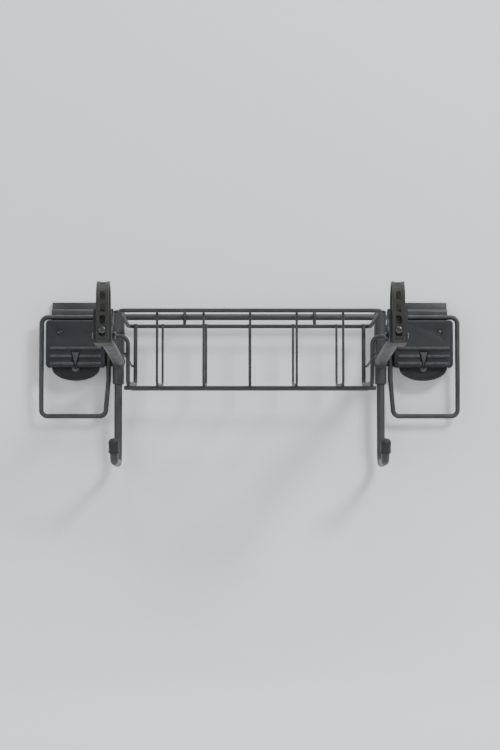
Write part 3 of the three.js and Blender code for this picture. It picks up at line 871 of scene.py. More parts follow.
def wall_plate(name):
    """Folded steel plate: a tongue that hooks into the groove, and a wing behind the upright."""
    lo, hi = low("mount_plate_right"), high("mount_plate_right")
    cover = high("cover_right")
    thick, inset, tab = 3 * MM, 2.5 * MM, 10 * MM
    half_tongue = 31 * MM
    shelf = LOOP_TOP + 9.5 * MM
    fold = [
        (0, -thick / 2, cover.z - 6 * MM),
        (0, -thick / 2, shelf),
        (0, hi.y - thick / 2, shelf),
        (0, hi.y - thick / 2, hi.z),
    ]
    line = bent_line(fold, 2.2 * MM, 6)
    tongue = bent_sheet(name, line, thick, LOCK.x - half_tongue, LOCK.x + half_tongue)
    top = cover.z - inset
    foot = LOCK.z + inset
    half = cover.x - inset - LOCK.x
    outline = [
        (LOCK.x + half, foot),
        (LOCK.x + half, top),
        (LOCK.x - half, top),
        (LOCK.x - half, top - inset),
        (lo.x, top - inset),
        (lo.x, foot),
        (LOCK.x - tab, foot),
    ]
    outline += arc(LOCK.x, LOCK.z, tab, 180, 360, 20)
    plate = slab_forward(name, outline, 0, -thick)
    carve(plate, [bar_cutter("hub_hole", LOCK + Y * 2 * MM, LOCK - Y * 6 * MM, 4.9 * MM)])
    round_edges(tongue, 0.4 * MM)
    round_edges(plate, 0.4 * MM)
    return joined(name, tongue, plate)


# ---------------------------------------------------------------- covers


def grip_rib(drop):
    """A low rounded rib with round ends, on the cover's face, drop below its top edge."""
    width, height, stand, steps = 66 * MM, 4.4 * MM, 2 * MM, 7
    centre_z = high("cover_right").z - drop
    stations = [(COVER_FACE + 0.6 * MM, 0.0)]
    for step in range(steps):
        turn = math.pi / 2 * step / 6.6
        stations.append((COVER_FACE - stand * math.sin(turn), height / 2 * (1 - math.cos(turn))))
    rings = []
    for y, inset in stations:
        corner = height / 2 - inset - 0.01 * MM
        outline = rounded_rect(width - 2 * inset, height - 2 * inset, corner, 6)
        rings.append([(a, y, b) for a, b in shifted(outline, COVER_MID.x, centre_z)])
    return solid_of_rings("rib", rings, True)


def arrow_outline(width, height, top):
    return [(LOCK.x - width / 2, top), (LOCK.x, top - height), (LOCK.x + width / 2, top)]


def cushion_block(name, width, height, back):
    """The cover's outside: a flat back with a small step, and a front whose edges are rounded off."""
    corner, edge, step_in, draft, steps = 5 * MM, 2.6 * MM, 0.45 * MM, 0.35 * MM, 6
    stations = [(back, step_in), (back - 1.3 * MM, step_in), (back - 1.5 * MM, 0.0)]
    for step in range(steps + 1):
        turn = math.pi / 2 * step / steps
        stations.append((COVER_FACE + edge * (1 - math.sin(turn)), draft + edge * (1 - math.cos(turn))))
    rings = []
    for y, inset in stations:
        outline = shifted(shrunk(width, height, corner, inset), COVER_MID.x, COVER_MID.z)
        rings.append([(a, y, b) for a, b in outline])
    return solid_of_rings(name, rings, True)


def cover_shell(name):
    """Moulded cover: cushioned edges, three grip ribs, an arrow and a sunk screw seat."""
    lo, hi = low("cover_right"), high("cover_right")
    screw = middle("cover_screw_right")
    wall, half_mouth = 2.5 * MM, 31.4 * MM
    shell = cushion_block(name, hi.x - lo.x, hi.z - lo.z, hi.y)
    carve(shell, [grip_rib(drop * MM) for drop in (36, 46, 55)], "UNION")
    inside = (hi.x - wall, COVER_FACE + wall, hi.z - wall)
    hollow = block("hollow", (lo.x + wall, hi.y + MM, lo.z + wall), inside)
    mouth_top = (LOCK.x + half_mouth, hi.y - 7.6 * MM, lo.z + 3.5 * MM)
    mouth = block("mouth", (LOCK.x - half_mouth, hi.y + MM, lo.z - MM), mouth_top)
    seat_foot = (screw.x, COVER_FACE + 2.3 * MM, screw.z)
    seat = bar_cutter("seat", seat_foot, (screw.x, COVER_FACE - MM, screw.z), 3.7 * MM)
    moat_outline = arrow_outline(12.6 * MM, 23 * MM, hi.z - 39.6 * MM)
    moat = slab_forward("moat", moat_outline, COVER_FACE + 0.9 * MM, COVER_FACE - 4 * MM)
    carve(shell, [hollow, mouth, seat, moat])
    bore, tube, depth = 1.9 * MM, 4.5 * MM, 9.5 * MM
    ring = [(bore, 0), (tube, 0), (tube, depth), (bore, depth)]
    post = turned("post", ring, (screw.x, hi.y, screw.z), -Y, 28, True)
    tip_outline = arrow_outline(9 * MM, 17 * MM, hi.z - 41 * MM)
    arrow = slab_forward("arrow", tip_outline, COVER_FACE + 1.2 * MM, lo.y)
    round_edges(shell, 0.3 * MM, 40)
    round_edges(arrow, 0.5 * MM, 40)
    return joined(name, shell, post, arrow)


def cover_screw(name):
    screw = middle("cover_screw_right")
    seat = Vector((screw.x, COVER_FACE + 2 * MM, screw.z))
    return pan_head(name, seat, -Y, 3.2 * MM, 1.9 * MM, 1.4 * MM, 9.5 * MM)


# ---------------------------------------------------------------- turning locks


def lock_flange(name):
    """Oval finger flange with a raised lip and finger notches, and its hub."""
    lo, hi = low("cam_right"), high("cam_right")
    half_w, half_h = (hi.x - lo.x) / 2, (hi.z - lo.z) / 2
    back, front = LOCK.y - 3 * MM - GAP, lo.y
    count, notches, notch_depth, notch_start = 144, 36, 0.55, 0.55
    lip, sunk = 1.2, 0.8 * MM
    stations = [(back, 0.5, 1), (back - 0.5 * MM, 0, 1)]
    for step in range(5):
        turn = math.pi / 2 * step / 4
        y = front + lip * MM * (1 - math.sin(turn))
        stations.append((y, lip * (1 - math.cos(turn)), 1 - step / 5))
    stations += [(front, 2.9, 0), (front + sunk, 3.7, 0), (front + sunk, 9.5, 0)]
    rings = []
    for y, inset, notch in stations:
        ring = []
        for i in range(count):
            turn = 2 * math.pi * i / count
            sideness = max(0.0, abs(math.cos(turn)) - notch_start) / (1 - notch_start)
            grip = notch_depth * notch * (0.5 - 0.5 * math.cos(turn * notches)) * sideness
            shrink = (inset + grip) * MM
            x = LOCK.x + (half_w - shrink) * math.cos(turn)
            ring.append((x, y, LOCK.z + (half_h - shrink) * math.sin(turn)))
        rings.append(ring)
    flange = solid_of_rings(name, rings)
    bore, tube = 2.3 * MM, 4.5 * MM
    length = hi.y - back
    ring = [(bore, 0), (tube, 0), (tube, length - 0.4 * MM), (tube - 0.4 * MM, length), (bore, length)]
    hub = turned("hub", ring, (LOCK.x, back - MM, LOCK.z), Y, 32, True)
    rise = 0.7 * MM
    ring = [(bore, 0), (7.4 * MM, 0), (7.0 * MM, 0.6 * MM), (5.2 * MM, rise), (bore, rise)]
    boss = turned("boss", ring, (LOCK.x, front + 0.9 * MM, LOCK.z), -Y, 40, True)
    return joined(name, flange, hub, boss)


def lock_bar(name):
    """The bar that turns behind the panel's lip."""
    lo, hi = low("cam_dog_right"), high("cam_dog_right")
    width = hi.x - lo.x
    outline = rounded_rect(width, hi.z - lo.z, width / 2 - 0.2 * MM, 10)
    bar = slab_forward(name, shifted(outline, LOCK.x, LOCK.z), hi.y, lo.y)
    carve(bar, [bar_cutter("hole", LOCK + Y * 20 * MM, LOCK, 2.3 * MM)])
    return round_edges(bar, 0.6 * MM)


def lock_screw(name):
    lo, hi = low("cam_screw_right"), high("cam_screw_right")
    seat = Vector((LOCK.x, lo.y + 2.4 * MM, LOCK.z))
    return pan_head(name, seat, -Y, 5 * MM, 2.4 * MM, 2 * MM, hi.y - seat.y)


# ---------------------------------------------------------------- steel frame


def bracing_loop(name):
    """Bent rod round the cover, whose foot bears on the wall."""
    lo, hi = low("loop_frame_right"), high("loop_frame_right")
    flat = LOOP_ROD * OCTAGON
    front = lo.y + flat
    foot_y = hi.y - flat
    foot = lo.z + flat
    outer = hi.x - flat
    inner = low("cover_right").x - 0.5 * MM - LOOP_ROD
    knee = LOCK.z - 15 * MM
    corners = [
        (POST.x + TUBE - 0.6 * MM, front, LOOP_TOP),
        (outer, front, LOOP_TOP),
        (outer, front, knee),
        (outer, foot_y, foot),
        (inner + 4 * MM, foot_y, foot),
        (inner, front, knee),
        (inner, front, LOOP_TOP - 10 * MM),
    ]
    return rod(name, corners, LOOP_ROD, 8 * MM, 24, 0.8 * MM)


def upright_tube(name):
    length = POST_TOP - POST_FOOT
    ease = 0.5 * MM
    bore = TUBE - TUBE_WALL
    profile = [
        (bore, ease),
        (bore + ease, 0),
        (TUBE - ease, 0),
        (TUBE, ease),
        (TUBE, length - ease),
        (TUBE - ease, length),
        (bore + ease, length),
        (bore, length - ease),
    ]
    return turned(name, profile, (POST.x, POST.y, POST_FOOT), Z, 40, True)


def end_plug(name):
    """Domed plastic plug in the top of the upright."""
    base = POST_TOP + GAP
    rise = high("upright_cap_right").z - base
    shank, depth, rim = 5.1 * MM, 6 * MM, 0.35 * rise
    profile = [(0, -depth), (shank, -depth), (shank, 0), (TUBE, 0), (TUBE, rim)]
    profile += dome(TUBE, rim, rise - rim, (0.2, 0.45, 0.7, 0.95, 1.2, 1.4))
    return turned(name, profile + [(0, rise)], (POST.x, POST.y, base), Z, 40)


def arm_tube(name):
    start_y, end_y = POST.y - TUBE + 3 * MM, low("arm_right").y
    corners = [(POST.x, y, arm_z(y)) for y in (start_y, end_y)]
    return rod(name, corners, TUBE, 1 * MM, 40)


def top_rail(name):
    end = POST.x - TUBE + 0.4 * MM
    return rod(name, [(-end, POST.y, LOOP_TOP), (end, POST.y, LOOP_TOP)], RAIL_ROD, 1 * MM, 28)


def arm_saddle():
    """Line round the arm where it meets the upright."""
    count, lift, least_reach = 150, 0.2 * MM, 1.2 * MM
    saddle = []
    for i in range(count):
        turn = 2 * math.pi * i / count
        across_x = (TUBE + lift) * math.sin(turn)
        y = POST.y - math.sqrt(max(TUBE ** 2 - across_x ** 2, least_reach ** 2))
        z = arm_z(y) + (TUBE + lift) * math.cos(turn)
        saddle.append(Vector((POST.x + across_x, y - 0.1 * MM, z)))
    return saddle


def frame_welds(name):
    """Weld beads of one side: arm, top rail and loop to the upright, and loop and wing to the plate."""
    radius = bpy.context.scene.rack_sizes.bead
    clear = 0.1 * MM
    bm = bmesh.new()
    weld_bead(bm, arm_saddle(), radius, True)
    weld_ring(bm, (POST.x - TUBE + 0.3 * MM, POST.y, LOOP_TOP), RAIL_ROD + clear, radius * 0.9)
    loop_y = low("loop_frame_right").y + LOOP_ROD * OCTAGON
    touch = POST.x + math.sqrt(TUBE ** 2 - (loop_y - POST.y) ** 2)
    weld_ring(bm, (touch + 0.6 * MM, loop_y, LOOP_TOP), LOOP_ROD + clear, radius * 0.8)
    for x in (LOCK.x - 22 * MM, LOCK.x + 16 * MM):
        for z in (LOOP_TOP + 2.6 * MM, LOOP_TOP - 2.6 * MM):
            weld_bead(bm, straight((x, -3.7 * MM, z), (x + 9 * MM, -3.7 * MM, z)), radius * 0.9)
    for x in (POST.x - 4.2 * MM, POST.x + 4.2 * MM):
        ends = [(x, -3.9 * MM, POST_TOP - drop * MM) for drop in (20, 60)]
        weld_bead(bm, straight(*ends), radius)
    return object_from(name, bm, 60)


HOOK_FOOT = Vector((POST.x, POST.y, low("hook_right").z + 5 * MM))
HOOK_START = HOOK_FOOT - Y * 84 * MM
HOOK_END = HOOK_START + Vector((0, -16 * MM, 24 * MM))


def storage_hook(name):
    corners = [(POST.x, POST.y, POST_FOOT + 14 * MM), HOOK_FOOT, HOOK_START, HOOK_END]
    return rod(name, corners, 5 * MM, 15 * MM, 32, 0.8 * MM)


def hook_cap(name):
    """Dipped vinyl cap on the hook's tip, with a rolled rim."""
    rim, outer, bore = 6.8 * MM, 6.4 * MM, 5.2 * MM
    length, seat, top, shoulder = 16 * MM, 0.4 * MM, 1.8 * MM, 2.4 * MM
    profile = [(0, seat), (bore, seat), (bore, -length), (rim - 0.5 * MM, -length)]
    profile += [(rim, -15.5 * MM), (rim, -14.2 * MM), (rim - 0.45 * MM, -13.6 * MM), (outer, -shoulder)]
    profile += dome(outer, -shoulder, top + shoulder, (0.3, 0.6, 0.9, 1.2, 1.42))
    return turned(name, profile + [(0, top)], HOOK_END, HOOK_END - HOOK_START, 36)


# ---------------------------------------------------------------- cradles

EAR = 7 * MM  # radius of the lug round the strap's pin
REAR_HORN, FRONT_HORN = 5.5 * MM, 9.5 * MM  # how far the seat's two ends stand below its centre


def seat_ends(radius):
    """Angles in degrees at which the seat's lining or body, of this radius, meets its horns."""
    rear = -math.degrees(math.asin(REAR_HORN / radius))
    front = -180 + math.degrees(math.asin(FRONT_HORN / radius))
    return rear, front


def cradle_outline():
    lo, hi = low("cradle_right"), high("cradle_right")
    nose, heel = 5 * MM, 2.5 * MM
    outline = arc(lo.y + nose, lo.z + nose, nose, 180, 270, 8)
    outline += arc(hi.y - heel, lo.z + heel, heel, -90, 0, 6)
    outline += [(hi.y, PIN.z - EAR), (PIN.y + EAR, PIN.z)]
    outline += arc(PIN.y, SEAT.z - REAR_HORN - EAR, EAR, 0, 90, 10)
    outline += arc(SEAT.y, SEAT.z, SEAT_RADIUS, *seat_ends(SEAT_RADIUS), 44)
    outline += [(lo.y, SEAT.z - FRONT_HORN)]
    return outline


def side_panel_outline():
    """Outline of the sunk panel on the cradle's cheek."""
    lo, hi = low("cradle_right"), high("cradle_right")
    inset, corner, rim = 8 * MM, 4 * MM, 5.2 * MM
    shelf = PIN.z - 12 * MM
    panel = arc(lo.y + inset, lo.z + inset, corner, 180, 270, 6)
    panel += arc(hi.y - inset, lo.z + inset, corner, -90, 0, 6)
    panel += [(hi.y - corner, shelf), (PIN.y - 1 * MM, shelf)]
    return panel + arc(SEAT.y, SEAT.z, SEAT_RADIUS + rim, -52, -140, 18)


def cradle_body(name):
    """Moulded cradle with sunk side panels, a screw boss and a slot for the strap's eye."""
    lo, hi = low("cradle_right"), high("cradle_right")
    screw = middle("cradle_screw_right")
    half_slot = STRAP_WIDTH / 2 + GAP
    slot_front = (POST.x - half_slot, PIN.y - 5.9 * MM, PIN.z - 6 * MM)
    cutters = [block("slot", slot_front, (POST.x + half_slot, hi.y + MM, SEAT.z))]
    cheeks = ((lo.x, -1), (hi.x, 1))
    for x, sign in cheeks:
        cutters.append(slab_across("panel", side_panel_outline(), x - sign * 0.8 * MM, x + sign * MM))
    body = slab_across(name, cradle_outline(), lo.x, hi.x)
    carve(body, cutters)
    parts = [round_edges(body, 0.7 * MM, 32)]
    rise = 1.2 * MM
    button = [(0, 0), (6.2 * MM, 0), (6.0 * MM, 1.0 * MM), (5.7 * MM, rise), (0, rise)]
    for x, sign in cheeks:
        foot = (x - sign * rise, screw.y, arm_z(screw.y))
        parts.append(turned("boss", button, foot, X * sign, 36))
    run = (0, POST.y - SEAT.y, ARM_WALL_Z - ARM_FRONT_Z)
    bore = TUBE + 0.1 * MM
    ring = [(bore, 0), (TUBE + 2.2 * MM, 0), (TUBE + 2.1 * MM, 3 * MM), (TUBE + 1.5 * MM, 3.8 * MM)]
    ring.append((bore, 4 * MM))
    parts.append(turned("collar", ring, (POST.x, hi.y - MM, arm_z(hi.y)), run, 40, True))
    return joined(name, *parts)


def cradle_pad(name):
    """Rubber lining of the seat, with shallow ridges across it."""
    outer = SEAT_RADIUS - GAP
    inner = outer - 2.2 * MM
    ridge, steps_a_ridge, steps = 0.3 * MM, 8, 144
    rear, front = seat_ends(outer)
    outline = arc(SEAT.y, SEAT.z, outer, front, rear, 44)
    for i in range(steps + 1):
        turn = math.radians(rear + (front - rear) * i / steps)
        radius = inner + ridge * (0.5 - 0.5 * math.cos(2 * math.pi * i / steps_a_ridge))
        outline.append((SEAT.y + radius * math.cos(turn), SEAT.z + radius * math.sin(turn)))
    lo, hi = low("cradle_pad_right"), high("cradle_pad_right")
    return round_edges(slab_across(name, outline, lo.x, hi.x), 0.3 * MM, 60)


def cradle_screw(name):
    screw = middle("cradle_screw_right")
    hi = high("cradle_screw_right")
    seat = Vector((hi.x - 3 * MM, screw.y, arm_z(screw.y)))
    length = seat.x - low("cradle_screw_right").x
    return pan_head(name, seat, X, 4 * MM, 2.9 * MM, 2 * MM, length)


def cradle_nut(name):
    """Hexagon nut with chamfered corners."""
    lo, hi = low("cradle_nut_right"), high("cradle_nut_right")
    y = middle("cradle_screw_right").y
    z = arm_z(y)
    nut = slab_across(name, arc(y, z, 4 * MM, 30, 330, 5), lo.x, hi.x)
    carve(nut, [bar_cutter("bore", (lo.x - MM, y, z), (hi.x + MM, y, z), 2.05 * MM)])
    return round_edges(nut, 0.45 * MM)


def hinge_pin(name):
    """Pin of the strap's eye, with slightly domed ends."""
    half = (high("strap_pin_right").x - low("strap_pin_right").x) / 2
    radius = 2.5 * MM
    end = [(0, -half - 0.5 * MM), (radius * 0.6, -half - 0.4 * MM), (radius, -half)]
    profile = end + [(r, -height) for r, height in reversed(end)]
    return turned(name, profile, (POST.x, PIN.y, PIN.z), X)


def strap_stud(name):
    """Stud with a neck and a rounded button head, just in front of the strap."""
    lo, hi = low("strap_stud_right"), high("strap_stud_right")
    shank, neck, head, thick = 2.5 * MM, 2.3 * MM, 3.9 * MM, 1.7 * MM
    depth = hi.y - lo.y
    rim = 0.35 * MM
    profile = [(0, 0), (shank, 0), (shank, 6.5 * MM), (neck, 7.2 * MM), (neck, depth)]
    profile += [(head * 0.93, depth), (head, depth + rim)]
    profile += dome(head, depth + rim, thick - rim, (0.3, 0.6, 0.9, 1.2, 1.4))
    place = (POST.x, hi.y, middle("strap_stud_right").z)
    return turned(name, profile + [(0, depth + thick)], place, -Y, 36)


# ---------------------------------------------------------------- straps

STRAP_MIDDLE = SEAT_RADIUS + STRAP_THICK / 2
SLOT_COUNT = 4
DIMPLE_COUNT = 4  # at most: those that would come too near the eye are left out
SLOT_PITCH = 13.4 * MM
SUNK = 0.45 * MM  # how far the strap's face lies below its raised edges
RUN_UP = SEAT.z - PIN.z
RUN_OVER = math.pi * STRAP_MIDDLE
RUN_DOWN = SEAT.z - low("strap_tail_right").z


def on_strap_path(point):
    """Moves a point of the flat strap, x across, y outward and z along, on to the strap's path."""
    across_x, out, along = point
    if along < RUN_UP:
        y = SEAT.y + STRAP_MIDDLE + out
        z = PIN.z + along
    elif along < RUN_UP + RUN_OVER:
        turn = (along - RUN_UP) / STRAP_MIDDLE
        radius = STRAP_MIDDLE + out
        y = SEAT.y + radius * math.cos(turn)
        z = SEAT.z + radius * math.sin(turn)
    else:
        y = SEAT.y - STRAP_MIDDLE - out
        z = SEAT.z - (along - RUN_UP - RUN_OVER)
    return Vector((POST.x + across_x, y, z))


def strap_slots(length):
    """Cutters for the flat strap: slots for the stud, then dimples, and the two corners of its end."""
    half, thick = STRAP_WIDTH / 2, STRAP_THICK / 2
    through, corner = 4 * MM, 3 * MM
    stud = middle("strap_stud_right").z
    stud_to_slot = 2.5 * MM + 0.4 * MM - 4.8 * MM
    first = RUN_UP + RUN_OVER + SEAT.z - (stud + stud_to_slot)
    cutters = []
    for step in range(SLOT_COUNT):
        outline = shifted(rounded_rect(6.6 * MM, 9.6 * MM, 2.2 * MM, 5), 0, first - step * SLOT_PITCH)
        cutters.append(slab_forward("slot", outline, through, -through))
    for sign in (-1, 1):
        outline = [(sign * (half + MM), length + MM), (sign * (half + MM), length - corner)]
        outline += arc(sign * (half - corner), length - corner, corner, 0 if sign > 0 else 180, 90, 6)
        outline.append((sign * (half - corner), length + MM))
        cutters.append(slab_forward("nose", outline, through, -through))
    for step in range(SLOT_COUNT, SLOT_COUNT + DIMPLE_COUNT):
        along = first - step * SLOT_PITCH
        if along < RUN_UP + 4 * MM:
            break
        outline = shifted(rounded_rect(5.8 * MM, 8.6 * MM, 2.0 * MM, 5), 0, along)
        cutters.append(slab_forward("dimple", outline, thick + MM, thick - SUNK - 0.7 * MM))
    return cutters


def flat_strap(name, length):
    """The strap laid straight along z from its pin: raised edges, slots and a ridged pull."""
    half, thick = STRAP_WIDTH / 2, STRAP_THICK / 2
    face = thick - SUNK
    edge, foot = half - 2.3 * MM, half - 2.8 * MM
    section = [(-half, -thick), (half, -thick), (half, thick), (edge, thick), (foot, face)]
    section += [(-foot, face), (-edge, thick), (-half, thick)]
    band = solid_of_rings(name, [[(a, b, along) for a, b in section] for along in (0, length)])
    carve(band, strap_slots(length))
    round_edges(band, 0.4 * MM, 30)
    reach, bulge = 4.2 * MM, 0.65 * MM
    ridges = []
    for back_from_end in (1.6, 3.4):
        z = length - back_from_end * MM
        ridges.append(rod("ridge", [(-reach, face, z), (reach, face, z)], bulge, 1 * MM, 10, 0.3 * MM))
    return joined(name, band, *ridges)


def ladder_strap(name):
    """Rubber ladder strap, bent over the seat, with its eye round the pin."""
    length = RUN_UP + RUN_OVER + RUN_DOWN
    band = flat_strap(name, length)
    bm = bmesh.new()
    bm.from_mesh(band.data)
    steps = int(length / (1.3 * MM))
    for i in range(1, steps):
        whole = bm.verts[:] + bm.edges[:] + bm.faces[:]
        cut = (0, 0, length * i / steps)
        bmesh.ops.bisect_plane(bm, geom=whole, plane_co=cut, plane_no=(0, 0, 1), dist=1e-7)
    bmesh.ops.triangulate(bm, faces=[face for face in bm.faces if len(face.verts) > 4])
    for vert in bm.verts:
        vert.co = on_strap_path(vert.co)
    bmesh.ops.remove_doubles(bm, verts=bm.verts, dist=1e-6)
    bmesh.ops.recalc_face_normals(bm, faces=bm.faces)
    bm.to_mesh(band.data)
    bm.free()
    half, radius, bore, ease = STRAP_WIDTH / 2, 5.6 * MM, 2.9 * MM, 0.6 * MM
    profile = [(bore, -half), (radius - ease, -half), (radius, -half + ease)]
    profile += [(radius, half - ease), (radius - ease, half), (bore, half)]
    eye = turned("eye", profile, (POST.x, PIN.y, PIN.z), X, 40, True)
    strap = joined(name, band, eye)
    strap.data.shade_smooth()
    strap.data.set_sharp_from_angle(angle=math.radians(40))
    return strap


# ---------------------------------------------------------------- basket

RIM_Z = middle("basket_rim").z
RIM_HALF = high("basket_rim").x - RIM_ROD * OCTAGON
RIM_BACK = high("basket_rim").y - RIM_ROD * OCTAGON
RIM_FRONT = low("basket_rim").y + RIM_ROD * OCTAGON
END_X = middle("basket_side_wire_right").x - RIM_ROD - GAP - WIRE
WIRE_COUNT = 5
WIRE_X = [middle(f"basket_wire_{i + 1}").x for i in range(WIRE_COUNT)]


FLOOR_DEPTH = 73.7 * MM  # from the rim's centre down to the floor wires, at the back
FLOOR_SLOPE = 12 / 196  # the floor's fall towards the front


def floor_z(y):
    return RIM_Z - FLOOR_DEPTH - FLOOR_SLOPE * (RIM_BACK - y)


def basket_rim():
    seam = 0.02 * MM
    corner = [(RIM_HALF, RIM_BACK), (RIM_HALF, RIM_FRONT), (-RIM_HALF, RIM_FRONT), (-RIM_HALF, RIM_BACK)]
    corners = [(x, y, RIM_Z) for x, y in [(0, RIM_BACK), *corner, (-seam, RIM_BACK)]]
    line = bent_line(corners, 8 * MM, 12)[:-1]
    bm = bmesh.new()
    sweep(bm, line, [RIM_ROD] * len(line), 22, True)
    weld_ring(bm, (0, RIM_BACK, RIM_Z), RIM_ROD, 0.45 * MM)
    return object_from("rim_rod", bm)


def floor_wires():
    """The row of U-shaped wires."""
    inset = RIM_ROD + GAP + WIRE
    back, front, top = RIM_BACK - inset, RIM_FRONT + inset, RIM_Z + RIM_ROD
    corners = [(0, back, top), (0, back, floor_z(back)), (0, front, floor_z(front)), (0, front, top)]
    line = bent_line(corners, 9 * MM, 10)
    mesh = bpy.data.meshes.new("wire_row")
    mesh.from_pydata([tuple(p) for p in line], [(i, i + 1) for i in range(len(line) - 1)], [])
    obj = loose_object("wire_row", mesh)
    values = {
        "Count": WIRE_COUNT,
        "Pitch": WIRE_X[1] - WIRE_X[0],
        "Radius": WIRE,
        "Sides": 18,
        "Finish": finish_of("basket_wire"),
    }
    return grown(obj, "wire_row", values)


def end_frame(name):
    inset = 2 * RIM_ROD + GAP
    back, front = RIM_BACK - inset, RIM_FRONT + inset
    lift = RIM_ROD - WIRE
    foot = arm_z(front) + TUBE + GAP + RIM_ROD
    corners = [
        (END_X, back, RIM_Z + RIM_ROD),
        (END_X, back, floor_z(back) + lift),
        (END_X, front, floor_z(front) + lift),
        (END_X, front, foot),
        (POST.x + 6 * MM, front, foot),
    ]
    return rod(name, corners, RIM_ROD, 9 * MM, 22, 0.9 * MM)


def side_wire(name):
    centre = middle("basket_side_wire_right")
    return rod(name, [(centre.x, RIM_BACK, centre.z), (centre.x, RIM_FRONT, centre.z)], WIRE, 1 * MM, 18)


def floor_rail(name, node):
    y = middle(node).y
    z = floor_z(y) - WIRE - GAP - RIM_ROD
    end = END_X + 2 * RIM_ROD
    return rod(name, [(-end, y, z), (end, y, z)], RIM_ROD, 1 * MM, 22, 0.9 * MM)


def rail_hook(name):
    """Round hook from the basket's rim over the top rail."""
    x = middle("basket_hook_right").x
    thick = 2 * MM
    reach = RAIL_ROD + 0.4 * MM + thick
    front, back, top = POST.y - reach, POST.y + reach, LOOP_TOP + reach
    corners = [(x, front, RIM_Z + RIM_ROD + GAP), (x, front, top), (x, back, top)]
    corners.append((x, back, LOOP_TOP - reach))
    return rod(name, corners, thick, reach - 0.05 * MM, 20, 0.7 * MM)


def weld_blob(radius):
    """A small squashed drop of weld."""
    heights = (-1.0, -0.8, -0.35, 0.2, 0.65, 0.93, 1.0)
    squash, lumps = 0.8, 0.12
    profile = []
    for height in heights:
        across = radius * math.sqrt(1 - height ** 2) * (1 + lumps * math.sin(5 * height))
        profile.append((across, radius * squash * height))
    return turned("weld_blob", profile, (0, 0, 0), Z, 12, smooth_angle=70)


def crossing_welds():
    """A drop of weld wherever two of the basket's wires cross."""
    lift = RIM_ROD + GAP / 2
    inset = 2 * RIM_ROD + GAP
    places = []
    for x in [*WIRE_X, -END_X, END_X]:
        for y in (RIM_BACK - lift, RIM_FRONT + lift):
            places.append((x, y, RIM_Z - 1.0 * MM))
        for node in ("basket_rail_back", "basket_rail_front"):
            y = middle(node).y
            places.append((x, y, floor_z(y) - WIRE - GAP / 2))
    side = middle("basket_side_wire_right")
    hook = middle("basket_hook_right")
    for sign in (-1, 1):
        for y in (RIM_BACK - inset, RIM_FRONT + inset):
            places.append((sign * (END_X + lift), y, side.z))
        places.append((sign * hook.x, POST.y - RAIL_ROD - 2.4 * MM, RIM_Z + RIM_ROD))
    turns = [(0.3 * (i % 3), 0.2 * (i % 2), 0.7 * (i % 5)) for i in range(len(places))]
    return copies("basket_welds", weld_blob(1.9 * MM), list(zip(places, turns)), "basket_wire")


# ---------------------------------------------------------------- operators

TREES = (
    spread_copies_tree,
    wire_row_tree,
    surface_skin_group,
    dust_group,
    rub_group,
    edge_wear_group,
)

# Each finish: its colour's property, roughness of the calm and the mottled parts, grains per metre,
# height of the grain in metres, amounts of dust, rub and edge wear, and anything more.
# RIBS is the y span over which the front of the cover's ribs gets a painted highlight.
RIBS = (COVER_FACE - 0.9 * MM, COVER_FACE - 1.9 * MM)
COAT = {"Coat_Weight": 0.08, "Coat_Roughness": 0.4}
GLOSS = {"Coat_Weight": 0.15, "Coat_Roughness": 0.3}
FINISHES = {
    "rack_steel": ("steel", (0.36, 0.52), 900.0, 0.00016, (0.12, 0.45, 0.3), COAT),
    "basket_wire": ("wire", (0.38, 0.54), 1000.0, 0.00013, (0.12, 0.4, 0.25), {}),
    "cover_plastic": ("cover", (0.48, 0.62), 1300.0, 0.00016, (0.12, 0.35, 0.22), {"proud": RIBS}),
    "lock_plastic": ("lock", (0.42, 0.56), 1300.0, 0.00012, (0.1, 0.3, 0.22), {}),
    "cradle_plastic": ("cradle", (0.5, 0.66), 1300.0, 0.00015, (0.12, 0.35, 0.25), {}),
    "pad_rubber": ("pad", (0.72, 0.88), 1700.0, 0.00014, (0.14, 0.2, 0.15), {}),
    "tip_vinyl": ("tip", (0.42, 0.55), 500.0, 0.00006, (0.12, 0.3, 0.1), GLOSS),
    "strap_rubber": ("strap", (0.62, 0.82), 1500.0, 0.00014, (0.12, 0.25, 0.18), {"Sheen_Weight": 0.1}),
    "black_zinc": ("zinc", (0.26, 0.42), 700.0, 0.00003, (0.08, 0.3, 0.5), {"Metallic": 0.95}),
}

# Each light: its name, place, width and height, power in watts, and colour.
LIGHTS = (
    ("key", (1.35, -1.7, 1.45), (0.7, 0.6), 50, (1.0, 0.985, 0.97)),
    ("fill", (-1.8, -1.9, 0.4), (1.4, 1.4), 15, (0.94, 0.97, 1.0)),
    ("behind", (0.7, 1.7, 0.9), (1.6, 1.2), 14, (0.96, 0.98, 1.0)),
    ("overhead", (0.0, -0.5, 1.7), (1.8, 0.8), 20, (1.0, 1.0, 1.0)),
)
ROOM_COLOUR, ROOM_STRENGTH = (0.93, 0.96, 1.0, 1), 0.38


class RACK_OT_finishes(bpy.types.Operator):
    """Make the materials and the node trees that the pieces use"""

    bl_idname = "rack.finishes"
    bl_label = "Make finishes"

    def execute(self, context):
        for make_tree in TREES:
            make_tree()
        for name, (tint, rough, grain, depth, amounts, extra) in FINISHES.items():
            colour = getattr(context.scene.rack_finish, tint)
            finish_material(name, colour, rough, grain, depth, *amounts, **extra)
        return {"FINISHED"}


class RACK_OT_plates(bpy.types.Operator):
    """Make the two folded wall plates"""

    bl_idname = "rack.plates"
    bl_label = "Wall plates"

    def execute(self, context):
        pair("wall_plate", wall_plate, "rack_steel", "rack_frame", ("mount_plate",))
        return {"FINISHED"}


class RACK_OT_covers(bpy.types.Operator):
    """Make the two ribbed covers and their screws"""

    bl_idname = "rack.covers"
    bl_label = "Covers"

    def execute(self, context):
        pair("cover_shell", cover_shell, "cover_plastic", "rack_frame", ("cover",))
        pair("cover_fixing", cover_screw, "black_zinc", "rack_frame", ("cover_screw",))
        return {"FINISHED"}


